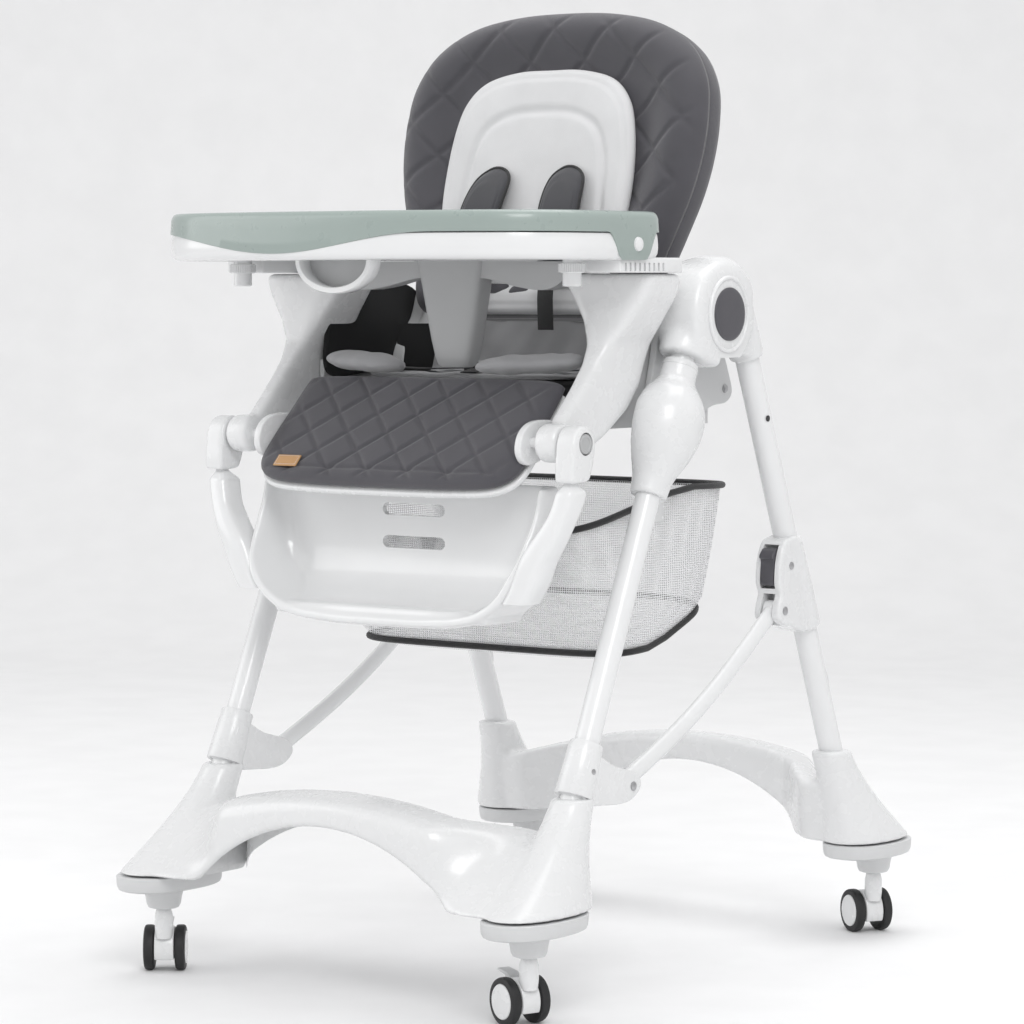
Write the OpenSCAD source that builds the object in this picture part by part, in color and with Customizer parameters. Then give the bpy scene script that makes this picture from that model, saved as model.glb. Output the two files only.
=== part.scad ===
// Baby high chair on a folding A-frame with casters. Millimetres, +Z up, the tray side faces -Y.
// Origin: floor level, centre of the plan outline.

/* [Frame] */
// half spacing of the casters across the chair
track = 260; // [252:1:268]
// half spacing of the casters front to back
base_y = 353.5; // [345:0.5:360]
// distance of each leg tube from the centre plane
leg_x = 250; // [250:1:252]
// outside radius of the leg tubes
tube_r = 14; // [12:0.5:14]
// running gap between a tube and the part sliding on it
run_gap = 0.06; // [0.03:0.01:0.1]
// height of the folding pivot above the floor
hub_z = 755; // [755:0.5:756]
// top of both base arches at the centre
arch_top = 229; // [215:1:230]
// plan radius of the foot ends
foot_r = 42; // [38:1:43]

/* [Seat] */
// half width inside the seat tub
tub_half = 197; // [190:1:197]
// top of the seat cushion
seat_z = 680; // [670:1:680]
// half width of the backrest at its widest
back_half = 215; // [205:1:215]
// length of the backrest above its pivot
back_len = 424; // [400:1:430]
// backrest lean at rest
back_tilt = 12.4; // [10:0.1:14]
// wall of the mesh basket
mesh_wall = 2.5; // [2:0.1:3]

/* [Legrest] */
// half width of the calf board
calf_half = 182; // [170:1:185]
// half width of the footrest shell
foot_half = 200; // [190:1:202]
// width of the two footrest slots
slot_w = 90; // [70:1:110]

/* [Tray] */
// half width of the tray
tray_half = 285; // [275:1:286]
// underside of the tray rim
tray_z = 815; // [815:0.5:817]
// depth of the play surface recess
tray_recess = 12; // [8:1:14]

/* [Casters] */
// radius of the twin wheels
wheel_r = 26; // [24:0.5:27]
// trail between the swivel axis and the axle
trail = 18; // [15:0.5:20]
// radius of the swivel stem
stem_r = 5.5; // [4.5:0.5:6]

/* [Hidden] */
$fn = 96;
hub_y = -5;
front_lean = atan(0.442);
rear_lean = atan(0.3975);
arm_slope = 0.12087;
link_p = [-170, 238];
link_q = [139, 409];
link_len = norm(link_q - link_p);
link_rise = atan2(link_q[1] - link_p[1], link_q[0] - link_p[0]);
recline_y = -8;
recline_z = 692;
leg_hub = [-253, 617];

// ---------- helpers ----------

// the same shape on the +X side and on the -X side
module pair() {
  children();
  mirror([1, 0, 0]) children();
}

// +X side for 1, -X side for -1
module on_side(s) {
  if (s > 0) children();
  if (s < 0) mirror([1, 0, 0]) children();
}

// a profile drawn in (y, z), given thickness from x0 to x1
module side_plate(x0, x1) {
  translate([x0, 0, 0]) rotate([90, 0, 90]) linear_extrude(height = x1 - x0) children();
}

// a profile drawn in (x, z), given thickness from y0 to y1
module front_plate(y0, y1) {
  translate([0, y1, 0]) rotate([90, 0, 0]) linear_extrude(height = y1 - y0) children();
}

// a round bar along x
module x_bar(x0, x1, y, z, r) {
  translate([x0, y, z]) rotate([0, 90, 0]) cylinder(h = x1 - x0, r = r);
}

// a round bar between two points
module rod(p, q, r) {
  d = q - p;
  translate(p) rotate([0, acos(d[2] / norm(d)), atan2(d[1], d[0])]) cylinder(h = norm(d), r = r);
}

// frame of the front leg tube: z runs up the tube, origin at world height z0
module on_front_leg(z0) {
  translate([leg_x, -50 - 0.442 * (707 - z0), z0]) rotate([-front_lean, 0, 0]) children();
}

// frame of the rear leg tube: z runs up the tube, origin at world height z0
module on_rear_leg(z0) {
  translate([leg_x, 83 + 0.3975 * (702 - z0), z0]) rotate([rear_lean, 0, 0]) children();
}

// frame of the backrest: z runs up the backrest, y points to its rear
module on_back() {
  translate([0, recline_y, recline_z]) rotate([-back_tilt, 0, 0]) children();
}

// ---------- base shells ----------

// arch between the two feet, open underneath
module arch_profile(drop) {
  intersection() {
    translate([0, arch_top - drop - 741]) circle(r = 741, $fn = 360);
    union() {
      translate([-218.6, 102]) square([437.2, 140]);
      translate([-229, 122]) square([458, 120]);
    }
  }
}

module base_arch() {
  difference() {
    front_plate(-390, -328) arch_profile(0);
    front_plate(-391, -327) translate([0, arch_top - 35 - 247]) circle(r = 247);
    front_plate(-384, -334) intersection() {
      arch_profile(5);
      translate([-178, 90]) square([356, 150]);
    }
  }
}

module foot_shell(neck_z) {
  hull() {
    translate([track, -381, 120]) cylinder(h = 10, r = foot_r, $fn = 48);
    translate([track, -315, 120]) cylinder(h = 10, r = foot_r, $fn = 48);
    translate([leg_x, -50 - 0.442 * (707 - neck_z), neck_z - 2]) rotate([-front_lean, 0, 0])
      cylinder(h = 3, r = 24, $fn = 48);
  }
}

module leg_bore(r) {
  on_front_leg(150) cylinder(h = 640, r = r);
}

module base_half() {
  difference() {
    foot_shell(232);
    leg_bore(tube_r + 0.05);
    translate([track, -base_y, 119]) cylinder(h = 9, r = 11);
  }
}

module front_base() {
  color("#e6e7e8") difference() {
    union() {
      pair() base_half();
      base_arch();
    }
    pair() leg_bore(tube_r + 0.05);
    pair() translate([track, -base_y, 119]) cylinder(h = 9, r = 11);
  }
}

// bottom cap of one foot with the round caster boss
module foot_cap() {
  difference() {
    union() {
      translate([track, -381, 99]) cylinder(h = 20.9, r = foot_r - 1);
      translate([track, -315, 99]) cylinder(h = 20.9, r = foot_r - 1);
      translate([track - foot_r + 1, -381, 99]) cube([2 * foot_r - 2, 66, 20.9]);
      translate([track, -base_y, 82]) cylinder(h = 20, r = 20);
    }
    translate([track, -base_y, 80]) cylinder(h = 42, r = stem_r + 0.05);
  }
}

module front_foot_caps() {
  color("#dfe0e1") pair() foot_cap();
}

// ---------- front frame ----------

module front_leg_tubes() {
  color("#e9eaeb") pair() on_front_leg(154) difference() {
    cylinder(h = 626, r = tube_r);
    translate([0, 0, -1]) cylinder(h = 628, r = tube_r - 1.5);
  }
}

// collar above the foot with the fork that carries the lower end of the fold link
module front_collars() {
  color("#dcdddf") pair() difference() {
    union() {
      on_front_leg(236) cylinder(h = 60, r = 19);
      side_plate(232, 268) difference() {
        union() {
          translate(link_p) circle(r = 15);
          polygon([[-248, 236], [-175, 223], [-160, 250], [-232, 282]]);
        }
        translate([-330, 150]) square([72, 200]);
      }
    }
    leg_bore(tube_r + 0.05);
    side_plate(241, 259) polygon([[-236, 150], [-100, 150], [-100, 330], [-214, 330]]);
    x_bar(225, 275, link_p[0], link_p[1], 3.05);
  }
}

// two cheeks and a roof around the rear leg knuckle, with the socket for the front tube
module hub_housings() {
  color("#dfe0e2") pair() difference() {
    union() {
      x_bar(219, 229.4, hub_y, hub_z, 63);
      x_bar(270.6, 281, hub_y, hub_z, 63);
      x_bar(219, 281, hub_y, hub_z, 63);
      on_front_leg(707) cylinder(h = 50, r = 29);
    }
    side_plate(229.4, 270.6) difference() {
      polygon([[hub_y - 70, hub_z - 80], [hub_y + 100, hub_z - 90], [hub_y + 100, hub_z + 100],
        [hub_y + 10, hub_z + 100], [hub_y - 40, hub_z + 30], [hub_y - 30, hub_z - 30]]);
      polygon([[-140, 660], [-34, 700], [-25, 712], [-44, 735], [-60, 800], [-140, 800]]);
      difference() {
        polygon([[-80, 740], [-80, 840], [hub_y + 22, 840], [hub_y + 14, 740]]);
        translate([hub_y, hub_z]) circle(r = 50);
      }
    }
    x_bar(229.4, 270.6, hub_y, hub_z, 36);
    on_front_leg(690) cylinder(h = 42.8, r = tube_r + 0.05);
    x_bar(222, 278, hub_y, hub_z, 7.05);
    x_bar(280, 282, hub_y, hub_z, 30.4);
  }
}

// hub pivot pins and the stub screws of the link forks
module frame_pins() {
  color("#9a9b9e") pair() {
    x_bar(222.3, 277.7, hub_y, hub_z, 7);
    for (x = [232.4, 259.4]) x_bar(x, x + 8.2, link_p[0], link_p[1], 3);
    x_bar(268.1, 271, link_p[0], link_p[1], 6);
    x_bar(267.6, 268.1, link_p[0], link_p[1], 3);
  }
}

module hub_caps() {
  color("#4d4c52") pair() x_bar(280.2, 286, hub_y, hub_z, 30);
}

// ---------- rear frame ----------

module rear_base() {
  color("#e6e7e8") difference() {
    mirror([0, 1, 0]) union() {
      pair() foot_shell_rear();
      base_arch();
    }
    pair() on_rear_leg(150) cylinder(h = 400, r = tube_r + 0.05);
    mirror([0, 1, 0]) pair() translate([track, -base_y, 119]) cylinder(h = 9, r = 11);
  }
}

module foot_shell_rear() {
  hull() {
    translate([track, -371, 120]) cylinder(h = 10, r = foot_r, $fn = 48);
    translate([track, -315, 120]) cylinder(h = 10, r = foot_r, $fn = 48);
    mirror([0, 1, 0]) on_rear_leg(230) translate([0, 0, -2]) cylinder(h = 3, r = 24, $fn = 48);
  }
}

module rear_foot_caps() {
  color("#dfe0e1") mirror([0, 1, 0]) pair() difference() {
    union() {
      translate([track, -371, 99]) cylinder(h = 20.9, r = foot_r - 1);
      translate([track, -315, 99]) cylinder(h = 20.9, r = foot_r - 1);
      translate([track - foot_r + 1, -371, 99]) cube([2 * foot_r - 2, 56, 20.9]);
      translate([track, -base_y, 82]) cylinder(h = 20, r = 20);
    }
    translate([track, -base_y, 80]) cylinder(h = 42, r = stem_r + 0.05);
  }
}

module rear_leg_tubes() {
  color("#e9eaeb") pair() on_rear_leg(154) difference() {
    cylinder(h = 652, r = tube_r);
    translate([0, 0, -1]) cylinder(h = 654, r = tube_r - 1.5);
  }
}

// tongue in the hub with the socket that holds the rear tube
module rear_knuckles() {
  color("#dfe0e2") pair() difference() {
    union() {
      x_bar(231, 269, hub_y, hub_z, 34);
      on_rear_leg(704) cylinder(h = 76, r = 19);
      side_plate(232.5, 267.5) translate([hub_y, hub_z]) rotate(rear_lean)
        polygon([[-4, -24], [10, -42], [60, -62], [63, 20], [31, 34], [-8, 26]]);
    }
    on_rear_leg(690) cylinder(h = 76.3, r = tube_r + 0.05);
    x_bar(230, 270, hub_y, hub_z, 7.06);
  }
}

// stop buttons under the travel of the fold sleeves
module stop_buttons() {
  color("#d8d9db") pair() on_rear_leg(314) difference() {
    translate([-6, 0, -16]) cube([12, tube_r + 7, 32]);
    translate([0, 0, -20]) cylinder(h = 40, r = tube_r + 0.05);
  }
}

module rear_screws() {
  color("#9a9b9e") pair() on_rear_leg(250) {
    rotate([0, 90, 0]) translate([0, 0, tube_r + 0.1]) cylinder(h = 2.4, r = 4);
  }
}

// ---------- fold sleeves, latches and links ----------

module sleeve_side() {
  difference() {
    union() {
      translate(link_q) circle(r = 15);
      polygon([[124, 409], [129, 430], [133, 474], [146, 490], [172, 492], [205, 400],
        [205, 384], [176, 384], [150, 398]]);
    }
    polygon([[120, 436], [143, 436], [148, 482], [120, 482]]);
  }
}

module fold_sleeve(s) {
  color("#dcdddf") on_side(s) difference() {
    union() {
      on_rear_leg(385) cylinder(h = 117, r = 19);
      side_plate(234, 266) sleeve_side();
      side_plate(234, 239) polygon([[129, 430], [133, 474], [146, 490], [160, 440]]);
      side_plate(261, 266) polygon([[129, 430], [133, 474], [146, 490], [160, 440]]);
    }
    on_rear_leg(360) cylinder(h = 180, r = tube_r + run_gap);
    side_plate(241.5, 258.5) polygon([[90, 380], [158, 380], [154, 427], [90, 427]]);
    x_bar(236, 268, link_q[0], link_q[1], 4.05);
  }
}

module fold_sleeve_l() { fold_sleeve(-1); }
module fold_sleeve_r() { fold_sleeve(1); }

module fold_latch(s) {
  color("#3c3c40") on_side(s) side_plate(240, 260)
    polygon([[125.5, 440], [139.5, 437.5], [143.5, 480], [133, 480], [124, 470]]);
}

module fold_latch_l() { fold_latch(-1); }
module fold_latch_r() { fold_latch(1); }

// slightly bowed link between the fork on the collar and the fork on the sleeve
module fold_link(s) {
  color("#e4e5e7") on_side(s) {
    difference() {
      side_plate(243, 257) translate(link_p) rotate(link_rise) union() {
        translate([link_len, 0]) circle(r = 12);
        circle(r = 12);
        intersection() {
          difference() {
            translate([link_len / 2, 1293]) circle(r = 1314, $fn = 180);
            translate([link_len / 2, 1293]) circle(r = 1294, $fn = 180);
          }
          translate([0, -40]) square([link_len, 60]);
        }
      }
      x_bar(240, 260, link_p[0], link_p[1], 3.4);
    }
    x_bar(236.3, 267.7, link_q[0], link_q[1], 4);
  }
}

module fold_link_l() { fold_link(-1); }
module fold_link_r() { fold_link(1); }

// ---------- seat ----------

module carriage_round() {
  on_front_leg(555) rotate_extrude() polygon([[0, 0], [21, 0], [21, 24], [30, 46], [39, 72],
    [42, 92], [40, 112], [31, 134], [21, 146], [21, 160], [0, 160]]);
}

// sliding carriages on the front tubes
module carriages() {
  color("#dedfe1") pair() difference() {
    intersection() {
      carriage_round();
      translate([226, -300, 400]) cube([100, 400, 400]);
    }
    on_front_leg(540) cylinder(h = 190, r = tube_r + run_gap);
  }
}

// flared armrest panels with the arms that hold the legrest
module side_panels() {
  color("#d9dadc") pair() difference() {
    union() {
      front_plate(-160, -92) polygon([[152, 800], [276, 800], [272, 776], [240, 730],
        [225.6, 706], [225.6, 640], [205, 640], [205, 716], [184, 752]]);
      side_plate(205, 225.6) union() {
        translate(leg_hub) circle(r = 21);
        polygon([[-170, 712], [-92, 712], [-100, 625], [-170, 600], [-245, 598],
          [-272, 622], [-262, 640], [-216, 664]]);
      }
      x_bar(205, 235.4, leg_hub[0], leg_hub[1], 18);
    }
    x_bar(204, 240, leg_hub[0], leg_hub[1], 6.05);
  }
}

// tub between the panels, open at the top and at the back
module seat_shell() {
  color("#c9cacd") difference() {
    translate([-tub_half - 6, -138, 628]) cube([2 * tub_half + 12, 210, 130]);
    translate([-tub_half, -139, 634]) cube([2 * tub_half, 212, 130]);
    translate([-230, 20, 690]) cube([460, 60, 80]);
    translate([-230, -140, 700]) cube([460, 48.6, 80]);
    pair() x_bar(190, 210, recline_y, recline_z, 6.05);
  }
}

module seat_cushion() {
  color("#46454b") translate([-186, -136, 634.5]) cube([372, 112, seat_z - 634.5]);
}

// light liner on the cushion and the two thigh rolls over its front edge
module seat_liner() {
  color("#d4d5d8") union() {
    translate([-150, -134, seat_z + 0.5]) cube([300, 100, 3.5]);
    pair() rod([66, -160, 696], [158, -150, 698], 8);
    pair() translate([70, -156, seat_z + 3]) cube([90, 60, 12]);
  }
}

module side_wings() {
  color("#1f1f22") pair() side_plate(190, 196.5)
    polygon([[-134, 690], [-30, 690], [-30, 760], [-60, 790], [-91, 790], [-91, 727], [-134, 727]]);
}

// plates behind the seat that carry the recline catch
module recline_brackets() {
  color("#c4c5c8") pair() side_plate(204, 214)
    polygon([[-60, 628], [80, 650], [104, 668], [96, 690], [60, 740], [-30, 740]]);
}

module harness_straps() {
  color("#2a2a2d") union() {
    pair() translate([26, -95, seat_z + 4.6]) cube([150, 24, 2]);
    translate([-12, -120, seat_z + 4.6]) cube([24, 30, 2]);
  }
}

module buckle() {
  color("#26262a") difference() {
    translate([-24, -98, seat_z + 7]) cube([48, 32, 12]);
    translate([-9.5, -92, seat_z + 14]) cube([19, 19, 6]);
  }
}

module buckle_button() {
  color("#77787c") translate([-9, -91.5, seat_z + 16]) cube([18, 18, 4.5]);
}

// ---------- basket ----------

module basket_side(t) {
  polygon([[-198 + t, 514 + t], [11, 558], [148 - t, 556], [98 - t, 416 + t],
    [-18, 366 + t], [-88 + 0.6 * t, 360 + t]]);
}

module basket_mesh() {
  color("#e8e8ea") difference() {
    side_plate(-205, 205) basket_side(0);
    side_plate(-205 + mesh_wall, 205 - mesh_wall) union() {
      basket_side(mesh_wall);
      polygon([[-194, 516], [-190, 600], [140, 600], [145, 550]]);
    }
  }
}

// black binding along the rims of the basket
module basket_tape() {
  color("#1b1b1d") union() {
    pair() side_plate(205.4, 208.6) polygon([[-203, 506], [11, 551], [148, 549], [148, 558],
      [11, 560], [-203, 515]]);
    pair() side_plate(205.4, 208.6) polygon([[-95, 353], [-84, 353], [-18, 361], [98, 411],
      [98, 420], [-18, 371], [-95, 362]]);
    translate([-208.6, -203, 507]) cube([417.2, 4.4, 8]);
    translate([-208.6, -95, 353]) cube([417.2, 9, 6.2]);
  }
}

// flat hangers from the tub down to the basket
module basket_hangers() {
  color("#e2e3e5") pair() side_plate(205.5, 207.5)
    polygon([[-60, 546], [-20, 554.5], [-20, 633.5], [-60, 627.5]]);
}

// ---------- backrest ----------

// outline of the backrest in its own plane, inset by d
module back_outline(d) {
  union() {
    intersection() {
      translate([0, back_len - 330]) circle(r = 330 - d);
      translate([-110, 200]) square([220, 260]);
    }
    pair_2d() translate([back_half - 135, back_len - 149]) circle(r = 135 - d);
    pair_2d() polygon([[0, 60 + d], [158 - d, 60 + d], [back_half - 14 - d, 205],
      [back_half - 1 - d, 262], [back_half - 60, 280], [0, 300]]);
  }
}

module pair_2d() {
  children();
  mirror([1, 0]) children();
}

module back_plate(y0, y1, d) {
  on_back() translate([0, y1, 0]) rotate([90, 0, 0]) linear_extrude(height = y1 - y0)
    back_outline(d);
}

module back_shell() {
  color("#d9dadc") union() {
    back_plate(14, 34, 6);
    on_back() pair() difference() {
      translate([180, -14, -14]) cube([16, 48, 110]);
      translate([170, 0, 0]) rotate([0, 90, 0]) cylinder(h = 40, r = 6.05);
      translate([150, -15, 60]) cube([50, 28.5, 60]);
    }
    on_back() translate([-196, 14, 40]) cube([392, 20, 40]);
  }
}

module back_cover() {
  color("#4b4a4f") back_plate(-30, 13.6, 0);
}

module back_liner() {
  color("#ececee") on_back() front_plate(-44, -30.4) union() {
    translate([0, 238]) circle(r = 118);
    translate([-138, 70]) square([276, 180]);
    pair_2d() translate([38, 250]) circle(r = 100);
  }
}

module shoulder_pads() {
  color("#38383c") pair() on_back() front_plate(-62, -44.6) difference() {
    union() {
      translate([52, 205]) circle(r = 26);
      polygon([[26, 205], [78, 205], [66, 96], [34, 96]]);
    }
    translate([40, 80]) square([24, 17]);
  }
}

module shoulder_straps() {
  color("#232326") pair() on_back() translate([42, -50, 30]) cube([22, 3, 65.6]);
}

// lift handle on the back of the backrest
module recline_handle() {
  color("#8d8f92") on_back() front_plate(34.4, 44) difference() {
    translate([-60, 300]) square([120, 46]);
    translate([-44, 312]) square([88, 22]);
  }
}

// ---------- legrest ----------

// straight sloping strip the footrest arm runs along, between two heights
module arm_strip(z0, z1, half) {
  polygon([for (e = [[z1, -half], [z1, half], [z0, half], [z0, -half]])
    [-259.5 + arm_slope * (e[0] - 592) + e[1], e[0]]]);
}

module legrest_knuckles() {
  color("#dadbdd") pair() difference() {
    union() {
      x_bar(236, 262, leg_hub[0], leg_hub[1], 20);
      x_bar(200, 236, leg_hub[0], leg_hub[1], 6);
      side_plate(236, 262) polygon([[-273, 617], [-240, 617], [-247, 546], [-283, 546]]);
      x_bar(190, 200, leg_hub[0], leg_hub[1], 6);
    }
    side_plate(243, 257) arm_strip(540, 596, 7);
    x_bar(252, 263, leg_hub[0], leg_hub[1], 11.4);
    x_bar(180, 257, leg_hub[0], leg_hub[1], 2);
  }
}

// board profile under the calf pad
module calf_board() {
  color("#e4e5e6") union() {
    side_plate(-calf_half - 7.6, calf_half + 7.6)
      polygon([[-180, 668], [-176, 662], [-276, 556], [-282, 562]]);
    pair() difference() {
      side_plate(calf_half + 4.4, calf_half + 7.6) polygon([[-205, 636], [-225, 600],
        [-262, 580], [-272, 612], [-246, 640]]);
      x_bar(180, 191, leg_hub[0], leg_hub[1], 2);
    }
  }
}

module calf_pad() {
  color("#47464c") side_plate(-calf_half - 4, calf_half + 4)
    polygon([[-180.6, 668.5], [-177, 672], [-180, 682], [-190, 684], [-290, 578],
      [-292, 568], [-283, 562.5]]);
}

module legrest_button(s) {
  color("#6a6b70") on_side(s) x_bar(258, 264, leg_hub[0], leg_hub[1], 11);
}

module legrest_button_l() { legrest_button(-1); }
module legrest_button_r() { legrest_button(1); }

// ---------- footrest ----------

module u_outline(d) {
  union() {
    pair_2d() translate([foot_half - 90, 498]) circle(r = 90 - d);
    translate([-foot_half + d, 498]) square([2 * foot_half - 2 * d, 68]);
    translate([-foot_half + 90, 408 + d]) square([2 * foot_half - 180, 158 - d]);
  }
}

module footrest() {
  color("#eceded") union() {
    difference() {
      intersection() {
        front_plate(-294, -212) u_outline(0);
        side_plate(-230, 230) polygon([[-212, 566], [-212, 404], [-284, 404], [-292, 416],
          [-290, 462], [-246, 566]]);
      }
      intersection() {
        front_plate(-300, -218) u_outline(7);
        side_plate(-230, 230) polygon([[-218, 580], [-218, 426], [-300, 414], [-300, 580]]);
      }
      for (z = [498, 535]) front_plate(-219, -211)
        translate([-slot_w / 2, z - 7]) square([slot_w, 14]);
    }
    pair() side_plate(244, 256) arm_strip(470, 592, 6.5);
    pair() side_plate(foot_half - 4, 256) arm_strip(470, 508, 6.5);
  }
}

// ---------- tray ----------

module tray_plan(d) {
  difference() {
    intersection() {
      union() {
        pair_2d() translate([tray_half - 85, -310]) circle(r = 85 - d);
        pair_2d() translate([tray_half - 40, -160]) circle(r = 40 - d);
        translate([-tray_half + d, -310]) square([2 * tray_half - 2 * d, 150]);
        translate([-tray_half + 85, -395 + d]) square([2 * tray_half - 170, 100]);
        translate([-tray_half + 40, -161]) square([2 * tray_half - 80, 41 - d]);
      }
      translate([0, 645.6]) circle(r = 1040.6 - d, $fn = 180);
    }
    translate([0, -62]) circle(r = 128 + d);
  }
}

module tray_base() {
  color("#e9e9ea") difference() {
    union() {
      difference() {
        translate([0, 0, tray_z]) linear_extrude(height = 27) tray_plan(0);
        translate([0, 0, tray_z + 13]) linear_extrude(height = 20) tray_plan(9);
      }
      pair() translate([222, -214, 800.6]) cube([44, 121, 15]);
      pair() translate([246, -252, 801]) cylinder(h = 15, r = 15);
    }
    pair() x_bar(277, 290, -189, tray_z + 16, 8);
    translate([-52, -370, tray_z - 1]) cube([104, 36, 9]);
  }
}

// grey cross bar under the tray with the crotch post
module tray_bar() {
  color("#a9abad") front_plate(-150, -126) union() {
    polygon([[-44, 814.6], [44, 814.6], [41, 784], [25, 702], [14, 694], [-14, 694],
      [-25, 702], [-41, 784]]);
    polygon([[-200, 814.6], [200, 814.6], [196, 801], [150, 801], [120, 788], [60, 796],
      [-60, 796], [-120, 788], [-150, 801], [-196, 801]]);
  }
}

module tray_handle() {
  color("#e9e9ea") union() {
    front_plate(-362, -344) difference() {
      intersection() {
        translate([0, 834]) circle(r = 53);
        translate([-60, 770]) square([120, 44]);
      }
      translate([0, 836]) circle(r = 46);
    }
    translate([-49, -362, 812]) cube([98, 18, 8]);
  }
}

module tray_insert() {
  color("#9aa8a2") difference() {
    union() {
      translate([0, 0, tray_z + 27.4]) linear_extrude(height = 25) tray_plan(1);
      translate([0, 0, tray_z + 15]) linear_extrude(height = 13) tray_plan(24);
    }
    translate([0, 0, tray_z + 52.4 - tray_recess]) linear_extrude(height = 20) tray_plan(18);
    translate([205, -290, tray_z + 24]) cylinder(h = 40, r = 38);
  }
}

module tray_button(s) {
  color("#d5d8d6") on_side(s) x_bar(280.5, 287.5, -189, tray_z + 16, 7.5);
}

module tray_button_l() { tray_button(-1); }
module tray_button_r() { tray_button(1); }

// ---------- casters ----------

// frame of one caster: x runs toward the trailing axle, z is the swivel axis
module at_caster(i) {
  sx = i % 2 == 0 ? -1 : 1;
  sy = i < 2 ? -1 : 1;
  translate([sx * track, sy * base_y, 0]) rotate([0, 0, caster_angle(i)]) children();
}

function caster_angle(i) = [126.6, 158.6, 148.4, 148.4][i];

module y_bar(y0, y1, x, z, r) {
  translate([x, y1, z]) rotate([90, 0, 0]) cylinder(h = y1 - y0, r = r);
}

module caster_fork(i) {
  color("#e2e3e5") at_caster(i) difference() {
    union() {
      translate([0, 0, 44]) cylinder(h = 36, r = 8);
      translate([0, 0, 44]) cylinder(h = 70, r = stem_r);
      difference() {
        y_bar(-11, 11, trail, wheel_r, 24);
        translate([-20, -20, -1]) cube([80, 40, 19]);
      }
    }
    y_bar(-12, 12, trail, wheel_r, 3.05);
    y_bar(-7, 7, trail + 15, 47, 4.6);
  }
}

module caster_fork_fl() { caster_fork(0); }
module caster_fork_fr() { caster_fork(1); }
module caster_fork_rl() { caster_fork(2); }
module caster_fork_rr() { caster_fork(3); }

module caster_wheels(i) {
  color("#2b2b2d") at_caster(i) union() {
    for (y = [-24, 11.6]) y_bar(y, y + 12.4, trail, wheel_r, wheel_r);
    y_bar(-12, 12, trail, wheel_r, 3);
  }
}

module caster_wheels_fl() { caster_wheels(0); }
module caster_wheels_fr() { caster_wheels(1); }
module caster_wheels_rl() { caster_wheels(2); }
module caster_wheels_rr() { caster_wheels(3); }

module brake_lever(i) {
  color("#dcdddf") at_caster(i) union() {
    y_bar(-6.5, 6.5, trail + 15, 47, 4);
    translate([trail + 13, -6.5, 49]) rotate([0, -8, 0]) cube([20, 13, 4]);
  }
}

module brake_lever_l() { brake_lever(0); }
module brake_lever_r() { brake_lever(1); }

front_base();
front_foot_caps();
front_leg_tubes();
front_collars();
hub_housings();
frame_pins();
hub_caps();
rear_base();
rear_foot_caps();
rear_leg_tubes();
rear_knuckles();
stop_buttons();
rear_screws();
fold_sleeve_l();
fold_sleeve_r();
fold_latch_l();
fold_latch_r();
fold_link_l();
fold_link_r();
carriages();
side_panels();
seat_shell();
seat_cushion();
seat_liner();
side_wings();
recline_brackets();
harness_straps();
buckle();
buckle_button();
basket_mesh();
basket_tape();
basket_hangers();
back_shell();
back_cover();
back_liner();
shoulder_pads();
shoulder_straps();
recline_handle();
legrest_knuckles();
calf_board();
calf_pad();
legrest_button_l();
legrest_button_r();
footrest();
tray_base();
tray_bar();
tray_handle();
tray_insert();
tray_button_l();
tray_button_r();
caster_fork_fl();
caster_fork_fr();
caster_fork_rl();
caster_fork_rr();
caster_wheels_fl();
caster_wheels_fr();
caster_wheels_rl();
caster_wheels_rr();
brake_lever_l();
brake_lever_r();
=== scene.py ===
import math

import bpy
import numpy as np
from bpy.props import FloatProperty, PointerProperty
from mathutils import Matrix, Vector


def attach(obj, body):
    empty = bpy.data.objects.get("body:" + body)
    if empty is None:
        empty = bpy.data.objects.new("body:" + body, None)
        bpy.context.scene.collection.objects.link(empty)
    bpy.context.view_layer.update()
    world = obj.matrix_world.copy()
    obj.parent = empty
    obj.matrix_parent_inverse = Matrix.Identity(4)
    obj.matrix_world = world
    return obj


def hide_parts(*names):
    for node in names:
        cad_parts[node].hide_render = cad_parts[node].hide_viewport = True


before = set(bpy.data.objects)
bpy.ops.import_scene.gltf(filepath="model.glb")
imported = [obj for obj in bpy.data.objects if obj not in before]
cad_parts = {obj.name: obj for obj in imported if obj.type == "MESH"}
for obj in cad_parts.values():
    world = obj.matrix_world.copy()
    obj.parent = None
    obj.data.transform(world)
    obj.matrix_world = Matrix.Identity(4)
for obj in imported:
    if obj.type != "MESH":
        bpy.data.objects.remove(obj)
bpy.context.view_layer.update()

bl_info = {
    "name": "Baby high chair",
    "version": (1, 0, 0),
    "blender": (4, 5, 0),
    "location": "View3D > Sidebar > High chair",
    "description": "Builds the visual model of a folding baby high chair, group by group",
    "category": "Object",
}

MM = 0.001
SIDES = (("l", -1), ("r", 1))
HUB = (-5.0, 755.0)
LEG_X = 250.0
LEG_HUB = (-253.0, 617.0)
LINK_P = (-170.0, 238.0)
LINK_Q = (139.0, 409.0)
RECLINE = (-8.0, 692.0)
BACK_TILT = math.radians(12.4)
CASTERS = {"fl": (-260.0, -353.5, 126.6), "fr": (260.0, -353.5, 158.6),
           "rl": (-260.0, 353.5, 148.4), "rr": (260.0, 353.5, 148.4)}


# ---------- shape helpers (all input in millimetres) ----------

def build(name, verts, faces, mat=None, smooth=True):
    """Makes a mesh object from millimetre vertices."""
    me = bpy.data.meshes.new(name)
    me.from_pydata([tuple(float(c) * MM for c in v) for v in verts], [], faces)
    me.validate()
    me.update()
    ob = bpy.data.objects.new(name, me)
    bpy.context.scene.collection.objects.link(ob)
    if smooth:
        me.polygons.foreach_set("use_smooth", [True] * len(me.polygons))
    if mat:
        me.materials.append(mat)
    return ob


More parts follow.
